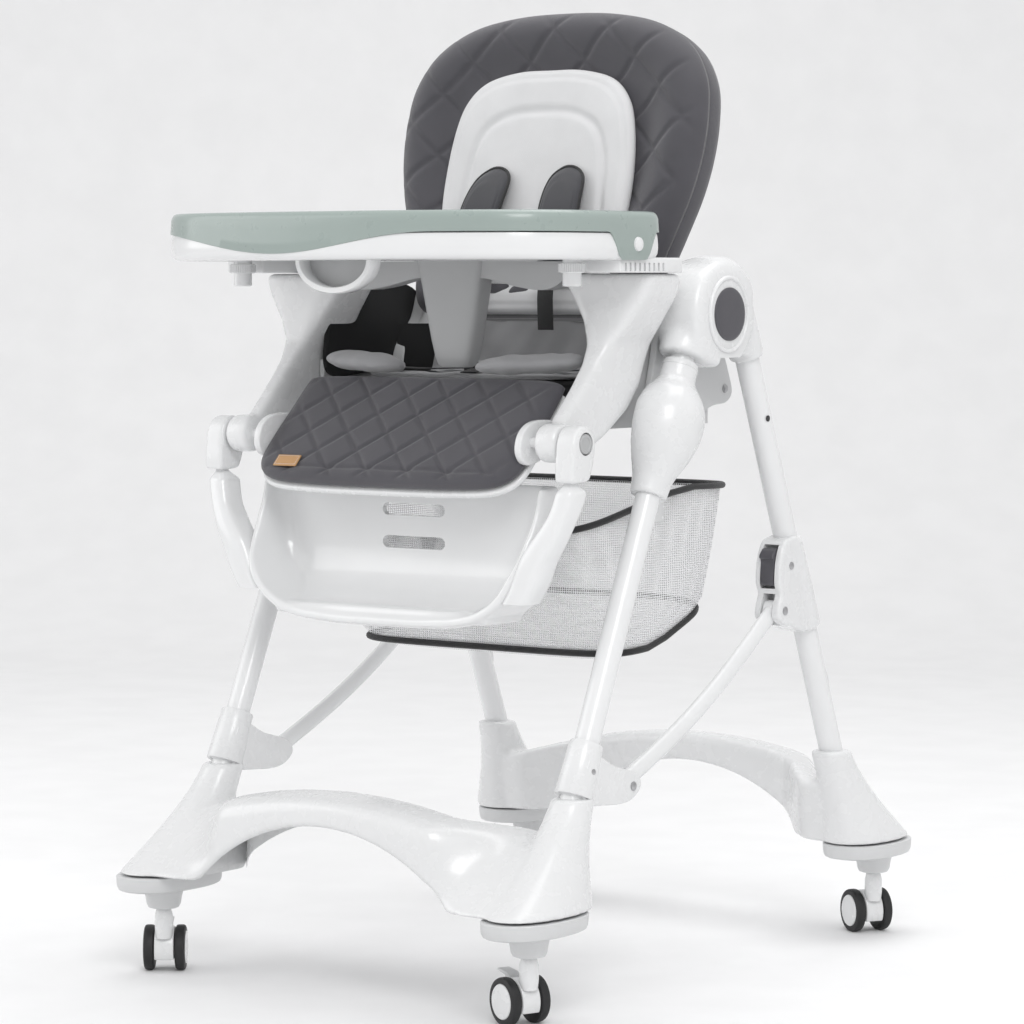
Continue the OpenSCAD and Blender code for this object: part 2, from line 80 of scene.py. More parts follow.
def loft(rings, cap=True, closed=False):
    """Skins rings of equal length; caps the two ends, or joins last to first."""
    n = len(rings[0])
    verts = [p for ring in rings for p in ring]
    faces = []
    m = len(rings)
    for i in range(m if closed else m - 1):
        a, b = i * n, ((i + 1) % m) * n
        for k in range(n):
            faces.append((a + k, a + (k + 1) % n, b + (k + 1) % n, b + k))
    if cap and not closed:
        for base, flip in ((0, True), ((m - 1) * n, False)):
            centre = np.mean(np.array(verts[base:base + n], float), axis=0)
            verts.append(tuple(centre))
            c = len(verts) - 1
            for k in range(n):
                f = (base + k, base + (k + 1) % n, c)
                faces.append(f[::-1] if flip else f)
    return verts, faces


def outward(ob):
    """Turns every face outward."""
    import bmesh
    bm = bmesh.new()
    bm.from_mesh(ob.data)
    bmesh.ops.recalc_face_normals(bm, faces=bm.faces)
    bm.to_mesh(ob.data)
    bm.free()
    return ob


def bake(ob):
    """Replaces the object's mesh with what its modifiers make of it."""
    dg = bpy.context.evaluated_depsgraph_get()
    me = bpy.data.meshes.new_from_object(ob.evaluated_get(dg))
    old = ob.data
    ob.modifiers.clear()
    ob.data = me
    bpy.data.meshes.remove(old)
    return ob


def drop(*obs):
    """Removes helper objects."""
    for ob in obs:
        me = ob.data
        bpy.data.objects.remove(ob)
        bpy.data.meshes.remove(me)


def shade(ob, angle=35.0):
    """Smooth shading that keeps edges sharper than the angle."""
    me = ob.data
    me.polygons.foreach_set("use_smooth", [True] * len(me.polygons))
    me.set_sharp_from_angle(angle=math.radians(angle))
    return ob


def join(name, obs, mat=None):
    """Puts several meshes in one object, keeping their material slots."""
    verts, faces, mats, index = [], [], [], []
    for ob in obs:
        base = len(verts)
        verts += [tuple(v.co) for v in ob.data.vertices]
        slots = list(ob.data.materials) or [mat]
        for m in slots:
            if m not in mats:
                mats.append(m)
        for p in ob.data.polygons:
            faces.append([base + k for k in p.vertices])
            index.append(mats.index(slots[min(p.material_index, len(slots) - 1)]))
    me = bpy.data.meshes.new(name)
    me.from_pydata(verts, [], faces)
    for m in mats:
        me.materials.append(m)
    me.polygons.foreach_set("material_index", index)
    drop(*obs)
    ob = bpy.data.objects.new(name, me)
    bpy.context.scene.collection.objects.link(ob)
    return shade(ob, 38)


def fuse(name, obs, mat, voxel=3.0, smooth=8, cuts=(), factor=0.5):
    """Blends overlapping solids into one moulded shape, then cuts away others."""
    base = join(name, obs)
    m = base.modifiers.new("blend", "REMESH")
    m.mode = "VOXEL"
    m.voxel_size = voxel * MM
    m.use_smooth_shade = True
    if smooth:
        s = base.modifiers.new("soften", "SMOOTH")
        s.factor = factor
        s.iterations = smooth * 3
    bake(base)
    for cut in cuts:
        b = base.modifiers.new("cut", "BOOLEAN")
        b.operation = "DIFFERENCE"
        b.solver = "EXACT"
        b.object = cut
        bake(base)
    drop(*cuts)
    base.data.materials.clear()
    base.data.materials.append(mat)
    return shade(base, 40)


def rounded(ob, width, segments=3, angle=30.0):
    """Rounds sharp edges."""
    b = ob.modifiers.new("round", "BEVEL")
    b.width = width * MM
    b.segments = segments
    b.limit_method = "ANGLE"
    b.angle_limit = math.radians(angle)
    b.harden_normals = False
    bake(ob)
    return shade(ob, 38)


def cut_by(ob, cuts):
    """Cuts other solids out of a piece."""
    for cut in cuts:
        b = ob.modifiers.new("cut", "BOOLEAN")
        b.operation = "DIFFERENCE"
        b.solver = "EXACT"
        b.object = cut
        bake(ob)
    drop(*cuts)
    return shade(ob, 38)


def mirrored(ob, name):
    """A copy on the other side of the centre plane."""
    me = ob.data.copy()
    me.name = name
    me.transform(Matrix.Scale(-1, 4, Vector((1, 0, 0))))
    me.flip_normals()
    other = bpy.data.objects.new(name, me)
    bpy.context.scene.collection.objects.link(other)
    return other


def circle(n, r, phase=0.0):
    """Cosine and sine pairs round a circle of radius r."""
    return [(r * math.cos(phase + 2 * math.pi * k / n), r * math.sin(phase + 2 * math.pi * k / n))
            for k in range(n)]


def blunt(c, power):
    """Sine or cosine raised to a power, sign kept: below 1 squares an oval's corners."""
    return math.copysign(abs(c) ** power, c)


def frame_of(axis):
    """Two unit directions square to the axis."""
    w = np.array(axis, float)
    w /= np.linalg.norm(w)
    u = np.cross((0.0, 1.0, 0.0) if abs(w[1]) < 0.9 else (1.0, 0.0, 0.0), w)
    u /= np.linalg.norm(u)
    return u, np.cross(w, u), w


def lathe(name, origin, axis, profile, mat, n=64):
    """Turns (along, radius) pairs about an axis."""
    u, v, w = frame_of(axis)
    o = np.array(origin, float)
    rings = [[o + w * a + u * (max(r, 0.001) * c) + v * (max(r, 0.001) * s)
              for c, s in circle(n, 1.0)] for a, r in profile]
    ob = build(name, *loft(rings), mat)
    return shade(outward(ob), 32)


def bar(name, p, q, r, mat, n=40):
    """Straight round bar from p to q."""
    d = np.array(q, float) - np.array(p, float)
    length = float(np.linalg.norm(d))
    e = min(0.6, r * 0.15)
    return lathe(name, p, d, [(0, r - e), (e, r), (length - e, r), (length, r - e)], mat, n)


def pipe(name, points, radius, mat, n=16, flat=1.0):
    """A round or flattened strand along a smooth path."""
    p = np.array(points, float)
    rings = []
    side = None
    for i in range(len(p)):
        t = p[min(i + 1, len(p) - 1)] - p[max(i - 1, 0)]
        t /= np.linalg.norm(t)
        if side is None:
            side, up, _ = frame_of(t)
        side = side - t * np.dot(side, t)
        side /= np.linalg.norm(side)
        up = np.cross(t, side)
        rings.append([p[i] + side * (radius * c) + up * (radius * flat * s)
                      for c, s in circle(n, 1.0)])
    return outward(build(name, *loft(rings), mat))


def loop_pipe(name, points, radius, mat, n=12):
    """A closed strand."""
    p = np.array(points, float)
    m = len(p)
    rings = []
    centre = p.mean(axis=0)
    for i in range(m):
        t = p[(i + 1) % m] - p[i - 1]
        t /= np.linalg.norm(t)
        side = p[i] - centre
        side = side - t * np.dot(side, t)
        side /= np.linalg.norm(side)
        up = np.cross(t, side)
        rings.append([p[i] + side * (radius * c) + up * (radius * s) for c, s in circle(n, 1.0)])
    return outward(build(name, *loft(rings, closed=True), mat))


def plate(name, outline, lo, hi, axis, mat, bevel=0.0, segments=3):
    """A flat outline given thickness along x ('x': outline is y, z), y or z."""
    put = {"x": lambda a, b, h: (h, a, b), "y": lambda a, b, h: (a, h, b),
           "z": lambda a, b, h: (a, b, h)}[axis]
    n = len(outline)
    verts = [put(a, b, lo) for a, b in outline] + [put(a, b, hi) for a, b in outline]
    faces = [tuple(range(n))[::-1], tuple(range(n, 2 * n))]
    faces += [(k, (k + 1) % n, n + (k + 1) % n, n + k) for k in range(n)]
    ob = outward(build(name, verts, faces, mat, smooth=False))
    return rounded(ob, bevel, segments, 25) if bevel else shade(ob, 30)


def box(name, lo, hi, mat, bevel=0.0):
    """Box between two corners."""
    x0, y0, z0 = lo
    x1, y1, z1 = hi
    return plate(name, [(x0, y0), (x1, y0), (x1, y1), (x0, y1)], z0, z1, "z", mat, bevel)


def spline(points, per=10, closed=True):
    """A smooth curve through the points."""
    p = np.array(points, float)
    n = len(p)
    out = []
    for i in range(n if closed else n - 1):
        a = p[(i - 1) % n] if closed or i > 0 else 2 * p[0] - p[1]
        b = p[i]
        c = p[(i + 1) % n]
        d = p[(i + 2) % n] if closed or i + 2 < n else 2 * p[-1] - p[-2]
        for k in range(per):
            t = k / per
            out.append(0.5 * ((2 * b) + (c - a) * t + (2 * a - 5 * b + 4 * c - d) * t * t
                              + (3 * b - a - 3 * c + d) * t ** 3))
    if not closed:
        out.append(p[-1])
    return out


def even(points, count, closed=True):
    """The same curve with evenly spaced points."""
    p = np.array(points, float)
    if closed:
        p = np.vstack([p, p[:1]])
    run = np.concatenate([[0], np.cumsum(np.linalg.norm(np.diff(p, axis=0), axis=1))])
    want = np.linspace(0, run[-1], count + 1 if closed else count)
    out = np.stack([np.interp(want, run, p[:, k]) for k in range(p.shape[1])], axis=1)
    return out[:-1] if closed else out


def rise(t):
    """Smooth step from 0 to 1."""
    t = np.clip(t, 0.0, 1.0)
    return t * t * (3 - 2 * t)


def front_leg(z):
    """Point of the front leg axis at height z (y, z)."""
    return -50.0 - 0.442 * (707.0 - z), z


def rear_leg(z):
    """Point of the rear leg axis at height z (y, z)."""
    return 83.0 + 0.3975 * (702.0 - z), z


FRONT_UP = np.array((0.0, 0.442, 1.0)) / math.hypot(0.442, 1.0)
REAR_UP = np.array((0.0, -0.3975, 1.0)) / math.hypot(0.3975, 1.0)


def on_back(x, y, z):
    """From the backrest's own plane to the chair."""
    c, s = math.cos(BACK_TILT), math.sin(BACK_TILT)
    return (x, RECLINE[0] + y * c + z * s, RECLINE[1] - y * s + z * c)


def pad(name, outline, put, front, back, mat, rings=60, rim=0.12, dent=None, power=2.2,
        per=360):
    """A stuffed panel: outline in its own plane, front and back depth, rounded rim."""
    pts = even(outline, per)
    centre = pts.mean(axis=0)
    verts, faces = [], []
    layers = []
    for side in (1, -1):
        depth = front if side > 0 else back
        for i in range(1, rings + 1):
            f = i / rings
            if f > 1 - rim:
                e = (f - (1 - rim)) / rim
                f = 1 - rim + rim * math.sin(e * math.pi / 2) if side > 0 else f
                h = (max(0.0, 1 - ((f - 1 + rim) / rim) ** power)) ** (1 / power)
            else:
                h = 1.0
            layer = []
            for q in pts:
                u, v = centre + (q - centre) * f
                d = dent(u, v, f, side) if dent else 0.0
                layer.append(put(u, v, side * (depth * h - d * min(1.0, h * 1.5))))
            layers.append((side, i, layer))
    start = {}
    for side, i, layer in layers:
        if side < 0 and i == rings:
            continue
        start[(side, i)] = len(verts)
        verts += layer
    for side in (1, -1):
        for i in range(1, rings):
            a = start[(side, i)]
            b = start[(side, i + 1)] if (side, i + 1) in start else start[(1, rings)]
            for k in range(per):
                f = (a + k, a + (k + 1) % per, b + (k + 1) % per, b + k)
                faces.append(f if side > 0 else f[::-1])
        d = dent(centre[0], centre[1], 0.0, side) if dent else 0.0
        depth = front if side > 0 else back
        verts.append(put(centre[0], centre[1], side * (depth - d)))
        c = len(verts) - 1
        a = start[(side, 1)]
        for k in range(per):
            f = (a + (k + 1) % per, a + k, c)
            faces.append(f if side > 0 else f[::-1])
    return outward(build(name, verts, faces, mat))


def diamonds(pitch_u, pitch_v, depth, width=4.0, shift=(0.0, 0.0)):
    """Depth of a quilted diamond seam at a point."""
    def dent(u, v, f=0.0, side=1):
        if side < 0:
            return 0.0
        a = (u - shift[0]) / pitch_u
        b = (v - shift[1]) / pitch_v
        out = 0.0
        for t in (a + b, a - b):
            d = abs(t - round(t)) * 2 * min(pitch_u, pitch_v) * 0.5
            out = max(out, math.exp(-(d / width) ** 2))
        return depth * out
    return dent


# ---------- materials ----------

class Sock:
    """Wraps a shader socket so that maths reads as maths."""

    def __init__(self, tree, out):
        self.tree = tree
        self.out = out

    def math(self, op, other=None, third=None):
        n = self.tree.nodes.new("ShaderNodeMath")
        n.operation = op
        for k, v in enumerate((self, other, third)):
            if isinstance(v, Sock):
                self.tree.links.new(v.out, n.inputs[k])
            elif v is not None:
                n.inputs[k].default_value = v
        return Sock(self.tree, n.outputs[0])

    def __add__(self, o): return self.math("ADD", o)
    def __sub__(self, o): return self.math("SUBTRACT", o)
    def __mul__(self, o): return self.math("MULTIPLY", o)
    def __truediv__(self, o): return self.math("DIVIDE", o)
    def __neg__(self): return self.math("MULTIPLY", -1.0)
    def sin(self): return self.math("SINE")
    def abs(self): return self.math("ABSOLUTE")
    def max(self, o): return self.math("MAXIMUM", o)
    def min(self, o): return self.math("MINIMUM", o)
    def above(self, o): return self.math("GREATER_THAN", o)

    def span(self, a, b, lo, hi):
        n = self.tree.nodes.new("ShaderNodeMapRange")
        n.inputs["From Min"].default_value = a
        n.inputs["From Max"].default_value = b
        n.inputs["To Min"].default_value = lo
        n.inputs["To Max"].default_value = hi
        self.tree.links.new(self.out, n.inputs["Value"])
        return Sock(self.tree, n.outputs["Result"])


class Shade:
    """One principled material being built."""

    def __init__(self, name, rgb, rough, metallic=0.0, coat=0.0, sheen=0.0):
        self.mat = bpy.data.materials.new(name)
        self.mat.use_nodes = True
        self.tree = self.mat.node_tree
        self.bsdf = self.tree.nodes["Principled BSDF"]
        self.bsdf.inputs["Base Color"].default_value = (*rgb, 1.0)
        self.bsdf.inputs["Roughness"].default_value = rough
        self.bsdf.inputs["Metallic"].default_value = metallic
        self.bsdf.inputs["Coat Weight"].default_value = coat
        self.bsdf.inputs["Coat Roughness"].default_value = 0.12
        self.bsdf.inputs["Sheen Weight"].default_value = sheen
        self.coords = self.tree.nodes.new("ShaderNodeTexCoord")

    def axes(self):
        n = self.tree.nodes.new("ShaderNodeSeparateXYZ")
        self.tree.links.new(self.coords.outputs["Object"], n.inputs[0])
        return [Sock(self.tree, o) for o in n.outputs]

    def noise(self, scale, detail=3.0):
        n = self.tree.nodes.new("ShaderNodeTexNoise")
        n.inputs["Scale"].default_value = scale
        n.inputs["Detail"].default_value = detail
        self.tree.links.new(self.coords.outputs["Object"], n.inputs["Vector"])
        return Sock(self.tree, n.outputs[0])

    def tint(self, factor, a, b):
        n = self.tree.nodes.new("ShaderNodeMix")
        n.data_type = "RGBA"
        self.tree.links.new(factor.out, n.inputs["Factor"])
        n.inputs["A"].default_value = (*a, 1.0)
        n.inputs["B"].default_value = (*b, 1.0)
        self.tree.links.new(n.outputs["Result"], self.bsdf.inputs["Base Color"])
        return self

    def drive(self, socket, value):
        self.tree.links.new(value.out, self.bsdf.inputs[socket])
        return self

    def bump(self, height, strength, distance=0.0005):
        n = self.tree.nodes.new("ShaderNodeBump")
        n.inputs["Strength"].default_value = strength
        n.inputs["Distance"].default_value = distance
        self.tree.links.new(height.out, n.inputs["Height"])
        self.tree.links.new(n.outputs["Normal"], self.bsdf.inputs["Normal"])
        return self


MATS = {}


def plastic(name, rgb, rough, coat=0.0, grain=0.03):
    """Moulded plastic with faint wear in its sheen and a fine grain."""
    s = Shade(name, rgb, rough, coat=coat)
    n = s.noise(60.0)
    s.drive("Roughness", n.span(0.3, 0.7, rough - 0.04, rough + 0.05))
    s.tint(s.noise(9.0).span(0.35, 0.65, 0.0, 1.0), [c * 0.985 for c in rgb],
           [min(1.0, c * 1.012) for c in rgb])
    return s.bump(s.noise(900.0, 2.0), grain, 0.0001)


def woven(name, rgb, rough=0.85, sheen=0.3, pitch=0.0011, deep=0.5, crease_shade=0.06):
    """Cloth with a plain weave read from object coordinates; its colour is darkened in the crease hollows
    and lightened on the crests, painted shade and painted highlight.
    """
    s = Shade(name, rgb, rough, sheen=sheen)
    x, y, z = s.axes()
    k = 2 * math.pi / pitch
    weave = (x * k).sin() * ((z + y * 0.35) * k).sin()
    crease = s.noise(26.0, 4.0)
    # painted shade and highlight: the colour follows the crease bump, darker in its hollows and lighter on
    # its crests
    s.tint(crease.span(0.3, 0.7, 0.0, 1.0), [c * (1 - crease_shade) for c in rgb],
           [min(1.0, c * (1 + crease_shade)) for c in rgb])
    return s.bump(weave * 0.5 + crease * 1.6, deep, 0.0006)


def netting(name, rgb, pitch=0.0062, hole=0.30):
    """Knitted mesh: small staggered holes let light through."""
    s = Shade(name, rgb, 0.8, sheen=0.2)
    x, y, z = s.axes()
    k = 2 * math.pi / pitch
    run = x + y * 0.8
    rows = (run * k).sin() * (z * k * 1.15).sin()
    open_ = rows.above(hole) .max((-rows).above(hole))
    s.drive("Alpha", open_.span(0.0, 1.0, 1.0, 0.12))
    return s.bump(rows.abs(), 0.5, 0.0005)


def make_materials():
    """Fills MATS with every finish."""
    MATS["white"] = plastic("white_gloss", (0.74, 0.745, 0.75), 0.26, coat=0.25).mat
    MATS["shell"] = plastic("white_shell", (0.76, 0.765, 0.77), 0.16, coat=0.5).mat
    MATS["tube"] = plastic("white_tube", (0.77, 0.775, 0.78), 0.22, coat=0.35).mat
    MATS["grey"] = plastic("grey_satin", (0.42, 0.425, 0.43), 0.42).mat
    MATS["pale"] = plastic("pale_grey", (0.62, 0.625, 0.63), 0.38).mat
    MATS["dark"] = plastic("dark_satin", (0.075, 0.073, 0.083), 0.42).mat
    MATS["black"] = plastic("black_satin", (0.022, 0.022, 0.024), 0.4).mat
    MATS["sage"] = plastic("sage_gloss", (0.30, 0.355, 0.335), 0.3, coat=0.3).mat
    MATS["steel"] = plastic("screw_steel", (0.45, 0.45, 0.46), 0.32).mat
    MATS["steel"].node_tree.nodes["Principled BSDF"].inputs["Metallic"].default_value = 1.0
    MATS["tyre"] = plastic("tyre_rubber", (0.012, 0.012, 0.013), 0.55).mat
    MATS["quilt"] = woven("quilt_cloth", (0.062, 0.060, 0.070), 0.7, 0.25, 0.0012, 0.35).mat
    MATS["liner"] = woven("liner_cloth", (0.70, 0.70, 0.71), 0.85, 0.3, 0.0014, 0.45, 0.03).mat
    # darker copy of the white liner cloth, painted shade: the seat liner and thigh rolls are the same white
    # cloth as the back liner, lying in shadow
    MATS["roll"] = woven("liner_cloth_painted_shade", (0.34, 0.34, 0.35), 0.85, 0.3, 0.0014, 0.45, 0.05).mat
    # near-black cloth of painted shade: it stands for the seat's dark quilted cover lying deep in shadow,
    # far darker than the cover cloth, and dresses the seat cushion, the sheet behind it and the side wings
    MATS["night"] = woven("painted_shade_cloth", (0.006, 0.006, 0.007), 0.9, 0.1, 0.0012, 0.4).mat
    MATS["piping"] = woven("black_binding", (0.010, 0.010, 0.011), 0.7, 0.2, 0.0009, 0.5).mat
    MATS["padding"] = woven("pad_cloth", (0.045, 0.045, 0.052), 0.85, 0.3, 0.0016, 0.6).mat
    MATS["net"] = netting("white_netting", (0.82, 0.82, 0.83)).mat
    MATS["tan"] = plastic("tan_leather", (0.50, 0.29, 0.135), 0.6, grain=0.8).mat


def place(ob, body, *nodes, slot=None):
    """Hangs a piece on its CAD body in place of the named nodes."""
    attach(ob, body)
    if nodes:
        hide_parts(*nodes)
    return ob


# ---------- base shells ----------

def foot_span(z, neck_z, neck_y, toe):
    """Half width, middle and half depth of a foot at one height."""
    t = min(1.0, max(0.0, (z - 118.0) / (neck_z - 118.0)))
    c, half = 0.5 * (toe[0] + toe[1]), 0.5 * abs(toe[0] - toe[1])
    w = 43.0 - 19.5 * (1 - (1 - t) ** 1.55)
    return (w, c + (neck_y - c) * (1 - (1 - t) ** 1.12),
            half + (25.5 - half) * (1 - (1 - t) ** 1.7), t)


def foot(x, neck_z, sign, neck_y, toe, mat):
    """Flared foot: an oval at the bottom drawn up into the round neck."""
    rings = []
    for i in range(27):
        z = 118.0 + (neck_z - 118.0) * i / 26
        w, cy, hy, t = foot_span(z, neck_z, neck_y, toe)
        cx = 260.0 + (LEG_X - 260.0) * rise(t * 0.9 + 0.05 * t) ** 0.85
        p = 2.0 + 0.35 * (1 - t)
        rings.append([(x * (cx + w * blunt(c, 2 / p)),
                       sign * (cy + hy * blunt(d, 2 / p)), z)
                      for c, d in circle(72, 1.0)])
    return outward(build("foot", *loft(rings), mat))


def arch(sign, span, mat, wall=0.0, name="arch"):
    """Band between the feet that turns into their slope; with a wall it is the hollow under it."""
    rings = []
    reach = 240.0 if not wall else 196.0
    for i in range(61):
        x = -reach + 2 * reach * i / 60
        a = abs(x)
        top = 229.0 - 36.0 * min(1.0, a / 218.0) ** 2.1 - wall
        low = max(194.0 - 247.0 + math.sqrt(247.0 ** 2 - min(a, 214.0) ** 2), 118.5)
        if wall:
            low -= 14.0 + 40.0 * rise((a - 150) / 40)
        flare = rise((a - 140) / 80)

        def at(depth, z):
            _, cy, hy, _ = foot_span(z, *span)
            rear = 327 + (-cy - hy * 0.86 - 327) * flare + wall
            front = 391 + (-cy + hy * 0.9 - 391) * flare - wall
            return -sign * (rear + (front - rear) * depth), z
        k = (top - low) * 0.6 if top - low < 50 else 30.0
        ring = [at(0.0, low), at(0.0, top - 12), at(0.03, top - 4), at(0.14, top), at(0.4, top - 0.5),
                at(0.7, top - 3), at(0.9, top - 0.3 * k), at(0.98, top - 0.6 * k), at(1.0, top - k),
                at(1.0, low + (top - low) * 0.2), at(1.0, low + 4), at(0.985, low)]
        rings.append([(x, u, v) for u, v in ring])
    return outward(build(name, *loft(rings), mat))


def base_shell(which, sign, neck_z, neck_y, toe, mat):
    """Two feet and the arch between them, hollow under the arch."""
    span = (neck_z, neck_y, toe)
    parts = [foot(s, neck_z, sign, neck_y, toe, mat) for s in (-1, 1)]
    parts.append(arch(sign, span, mat))
    hollow = arch(sign, span, mat, wall=5.0, name="hollow")
    return fuse(which, parts, mat, voxel=2.6, smooth=9, cuts=[hollow])


def foot_cap(name, sign, toe, mat):
    """Bottom cap with rounded rim, round boss under it."""
    out = []
    for s in (-1, 1):
        rings = []
        front, back = toe
        c, half = 0.5 * (front + back), 0.5 * abs(front - back)
        for z, d in ((98.5, 9.0), (98.9, 5.0), (100.5, 1.8), (104.0, 0.3), (110.0, -0.4),
                     (115.6, -0.6), (116.6, 0.6)):
            ring = []
            for k in range(72):
                a = 2 * math.pi * k / 72
                ca, sa = math.cos(a), math.sin(a)
                ring.append((s * (260 + (43.2 - d) * blunt(ca, 0.85)),
                             sign * (c + (half + 0.4 - d) * blunt(sa, 0.85)), z))
            rings.append(ring)
        out.append(outward(build("cap", *loft(rings), mat)))
        y = -sign * 353.5
        out.append(lathe("boss", (s * 260, y, 75), (0, 0, 1),
                         [(0, 14), (1.2, 17.5), (5, 19.5), (14, 21), (24, 24)], mat))
    return join(name, out)


# ---------- frames ----------

def leg_tube(name, path, z0, z1, radius, mat):
    """Pair of straight leg tubes between two heights."""
    out = []
    for s in (-1, 1):
        (ya, za), (yb, zb) = path(z0), path(z1)
        out.append(bar("tube", (s * LEG_X, ya, za), (s * LEG_X, yb, zb), radius, mat, 56))
    return join(name, out)


def screw(x, y, z, side, mat, r=4.2):
    """Round screw head, facing sideways."""
    head = lathe("head", (x, y, z), (side, 0, 0),
                 [(-1.5, r + 0.4), (0.2, r + 0.4), (0.2, r), (1.2, r * 0.96), (2.0, r * 0.7),
                  (2.2, 0.01)], mat, 28)
    return head


def lower_collar(mat):
    """Collar over the foot with the fork for the link's lower end."""
    out = []
    for s in (-1, 1):
        (ya, za) = front_leg(234)
        o = (s * LEG_X, ya, za)
        out.append(lathe("sleeve", o, FRONT_UP,
                         [(0, 15), (0.5, 20.6), (2, 21.2), (40, 19.8), (60, 18.9), (61.5, 18.2),
                          (61.8, 14.2)], mat, 56))
        for x0, x1 in ((232.5, 241.5), (258.5, 267.5)):
            cheek = spline([(-262, 232), (-215, 222), (-176, 222.5), (-155, 236), (-164, 252),
                            (-205, 264), (-248, 280)], 6)
            lo, hi = sorted((s * x0, s * x1))
            out.append(plate("cheek", [tuple(p) for p in cheek], lo, hi, "x", mat, 1.6))
        web = [(-262, 236), (-240, 229), (-232, 240), (-238, 276), (-258, 276)]
        lo, hi = sorted((s * 236, s * 264))
        out.append(plate("web", web, lo, hi, "x", mat, 2.0))
    return join("front_collar_pieces", out)


def hub_housing(mat):
    """Arched housing over the folding pivot."""
    out = []
    for s in (-1, 1):
        parts = []
        (y0, z0) = front_leg(706)
        path = [(y0, z0), front_leg(730), front_leg(752), (-22, 772), (-9, 789),
                (10, 792), (27, 783), (36, 768)]
        path = spline([(a, b) for a, b in path], 8, closed=False)
        rings = []
        n = len(path)
        for i, (a, b) in enumerate(path):
            p0, p1 = path[max(i - 1, 0)], path[min(i + 1, n - 1)]
            t = np.array(p1, float) - np.array(p0, float)
            t /= np.linalg.norm(t)
            nx = np.array((-t[1], t[0]))
            f = i / (n - 1)
            deep = 29.0 - 1.5 * f
            wide = 27.5 + 4.5 * rise(f * 2.2)
            p = 2.0 + 1.3 * rise(f * 2.0)
            ring = []
            for k in range(48):
                an = 2 * math.pi * k / 48
                ca, sa = math.cos(an), math.sin(an)
                u = blunt(ca, 2 / p) * deep
                w = blunt(sa, 2 / p) * wide
                ring.append((s * (LEG_X + w), a + nx[0] * u, b + nx[1] * u))
            rings.append(ring)
        parts.append(outward(build("limb", *loft(rings), mat)))
        parts.append(lathe("disc", (s * 220, *HUB), (s, 0, 0),
                           [(0, 50), (2, 58), (6, 61.5), (31, 62), (55, 61), (59, 57.5), (61, 52)],
                           mat, 72))
        swing = [(HUB[0] + 20, HUB[1] - 90), (HUB[0] - 2, HUB[1] - 38), (HUB[0] + 40, HUB[1] - 8),
                 (HUB[0] + 48, HUB[1] + 40), (HUB[0] + 90, HUB[1] + 60), (HUB[0] + 110, HUB[1] - 90)]
        lo, hi = sorted((s * 229.5, s * 270.5))
        pocket = plate("pocket", swing, lo, hi, "x", mat)
        ya = front_leg(700)[0]
        under = plate("under", [(ya + 34, 640), (HUB[0] + 80, 640), (HUB[0] + 80, 706),
                                (ya + 34, 706)], s * 250 - 60, s * 250 + 60, "x", mat)
        one = fuse("hub", parts, mat, 2.2, 9, cuts=[pocket, under])
        ring_pts = [(s * 282.2, HUB[0] + 37.5 * c, HUB[1] + 41.0 * sn) for c, sn in circle(80, 1.0)]
        rim = loop_pipe("rim", ring_pts, 2.6, mat, 10)
        face = lathe("face", (s * 279, *HUB), (s, 0, 0), [(0, 40), (3.2, 40), (3.6, 38.5)], mat, 80)
        out += [one, rim, face]
    return join("hub_housing_pieces", out)


def hub_cap(mat):
    """Dark discs on the hubs' outer faces."""
    out = []
    for s in (-1, 1):
        out.append(lathe("cap", (s * 282.4, *HUB), (s, 0, 0),
                         [(0, 30), (1.6, 30), (2.6, 29.2), (3.4, 26), (3.9, 16), (4.0, 0.01)],
                         mat, 80))
    return join("hub_cap_pieces", out)


def rear_socket(mat):
    """Sleeve and shoulder at the top of each rear leg."""
    out = []
    for s in (-1, 1):
        (y0, z0) = rear_leg(704)
        parts = [lathe("socket", (s * LEG_X, y0, z0), REAR_UP,
                       [(0, 17.5), (0.6, 19.6), (3, 20.2), (30, 20.2), (60, 19.4), (74, 15), (78, 6)],
                       mat, 56)]
        lo, hi = sorted((s * 231.5, s * 268.5))
        tongue = spline([(-26, 738), (20, 716), (58, 706), (84, 716), (74, 752), (58, 786), (30, 800),
                         (0, 792), (-28, 772)], 6)
        parts.append(plate("tongue", [tuple(p) for p in tongue], lo, hi, "x", mat, 3.0))
        out.append(fuse("knuckle", parts, mat, 2.2, 6))
    return join("rear_socket_pieces", out)


def fold_sleeve(s, body, mat):
    """Sliding sleeve with the latch window and the fork for the link."""
    lo, hi = sorted((s * 232.5, s * 267.5))
    (y0, z0) = rear_leg(385)
    tube = lathe("tube", (s * LEG_X, y0, z0), REAR_UP,
                 [(0, 14.3), (0.2, 18.4), (1.4, 19.4), (60, 19.6), (110, 18.6), (114, 18.0), (114.4, 14.3)],
                 mat, 56)
    side = spline([(212, 386), (182, 382), (158, 389), (142, 392), (126, 401), (127, 416),
                   (132, 428), (127, 442), (130, 470), (140, 489), (156, 494), (170, 492),
                   (186, 450), (200, 414)], 6)
    cheek = plate("side", [tuple(p) for p in side], lo, hi, "x", mat, 3.2, 4)
    one = fuse("sleeve", [tube, cheek], mat, 1.8, 4, cuts=[
        plate("slot", [(100, 380), (154, 380), (152, 428), (100, 430)],
              *sorted((s * 242.0, s * 258.0)), "x", mat),
        plate("window", [(tuple(p)) for p in spline([(110, 440), (138, 436), (144, 446), (147, 474),
                                                     (143, 484), (112, 486)], 4)],
              *sorted((s * 240.0, s * 260.0)), "x", mat)])
    one.name = "fold_sleeve_piece_" + body[-1]
    return one


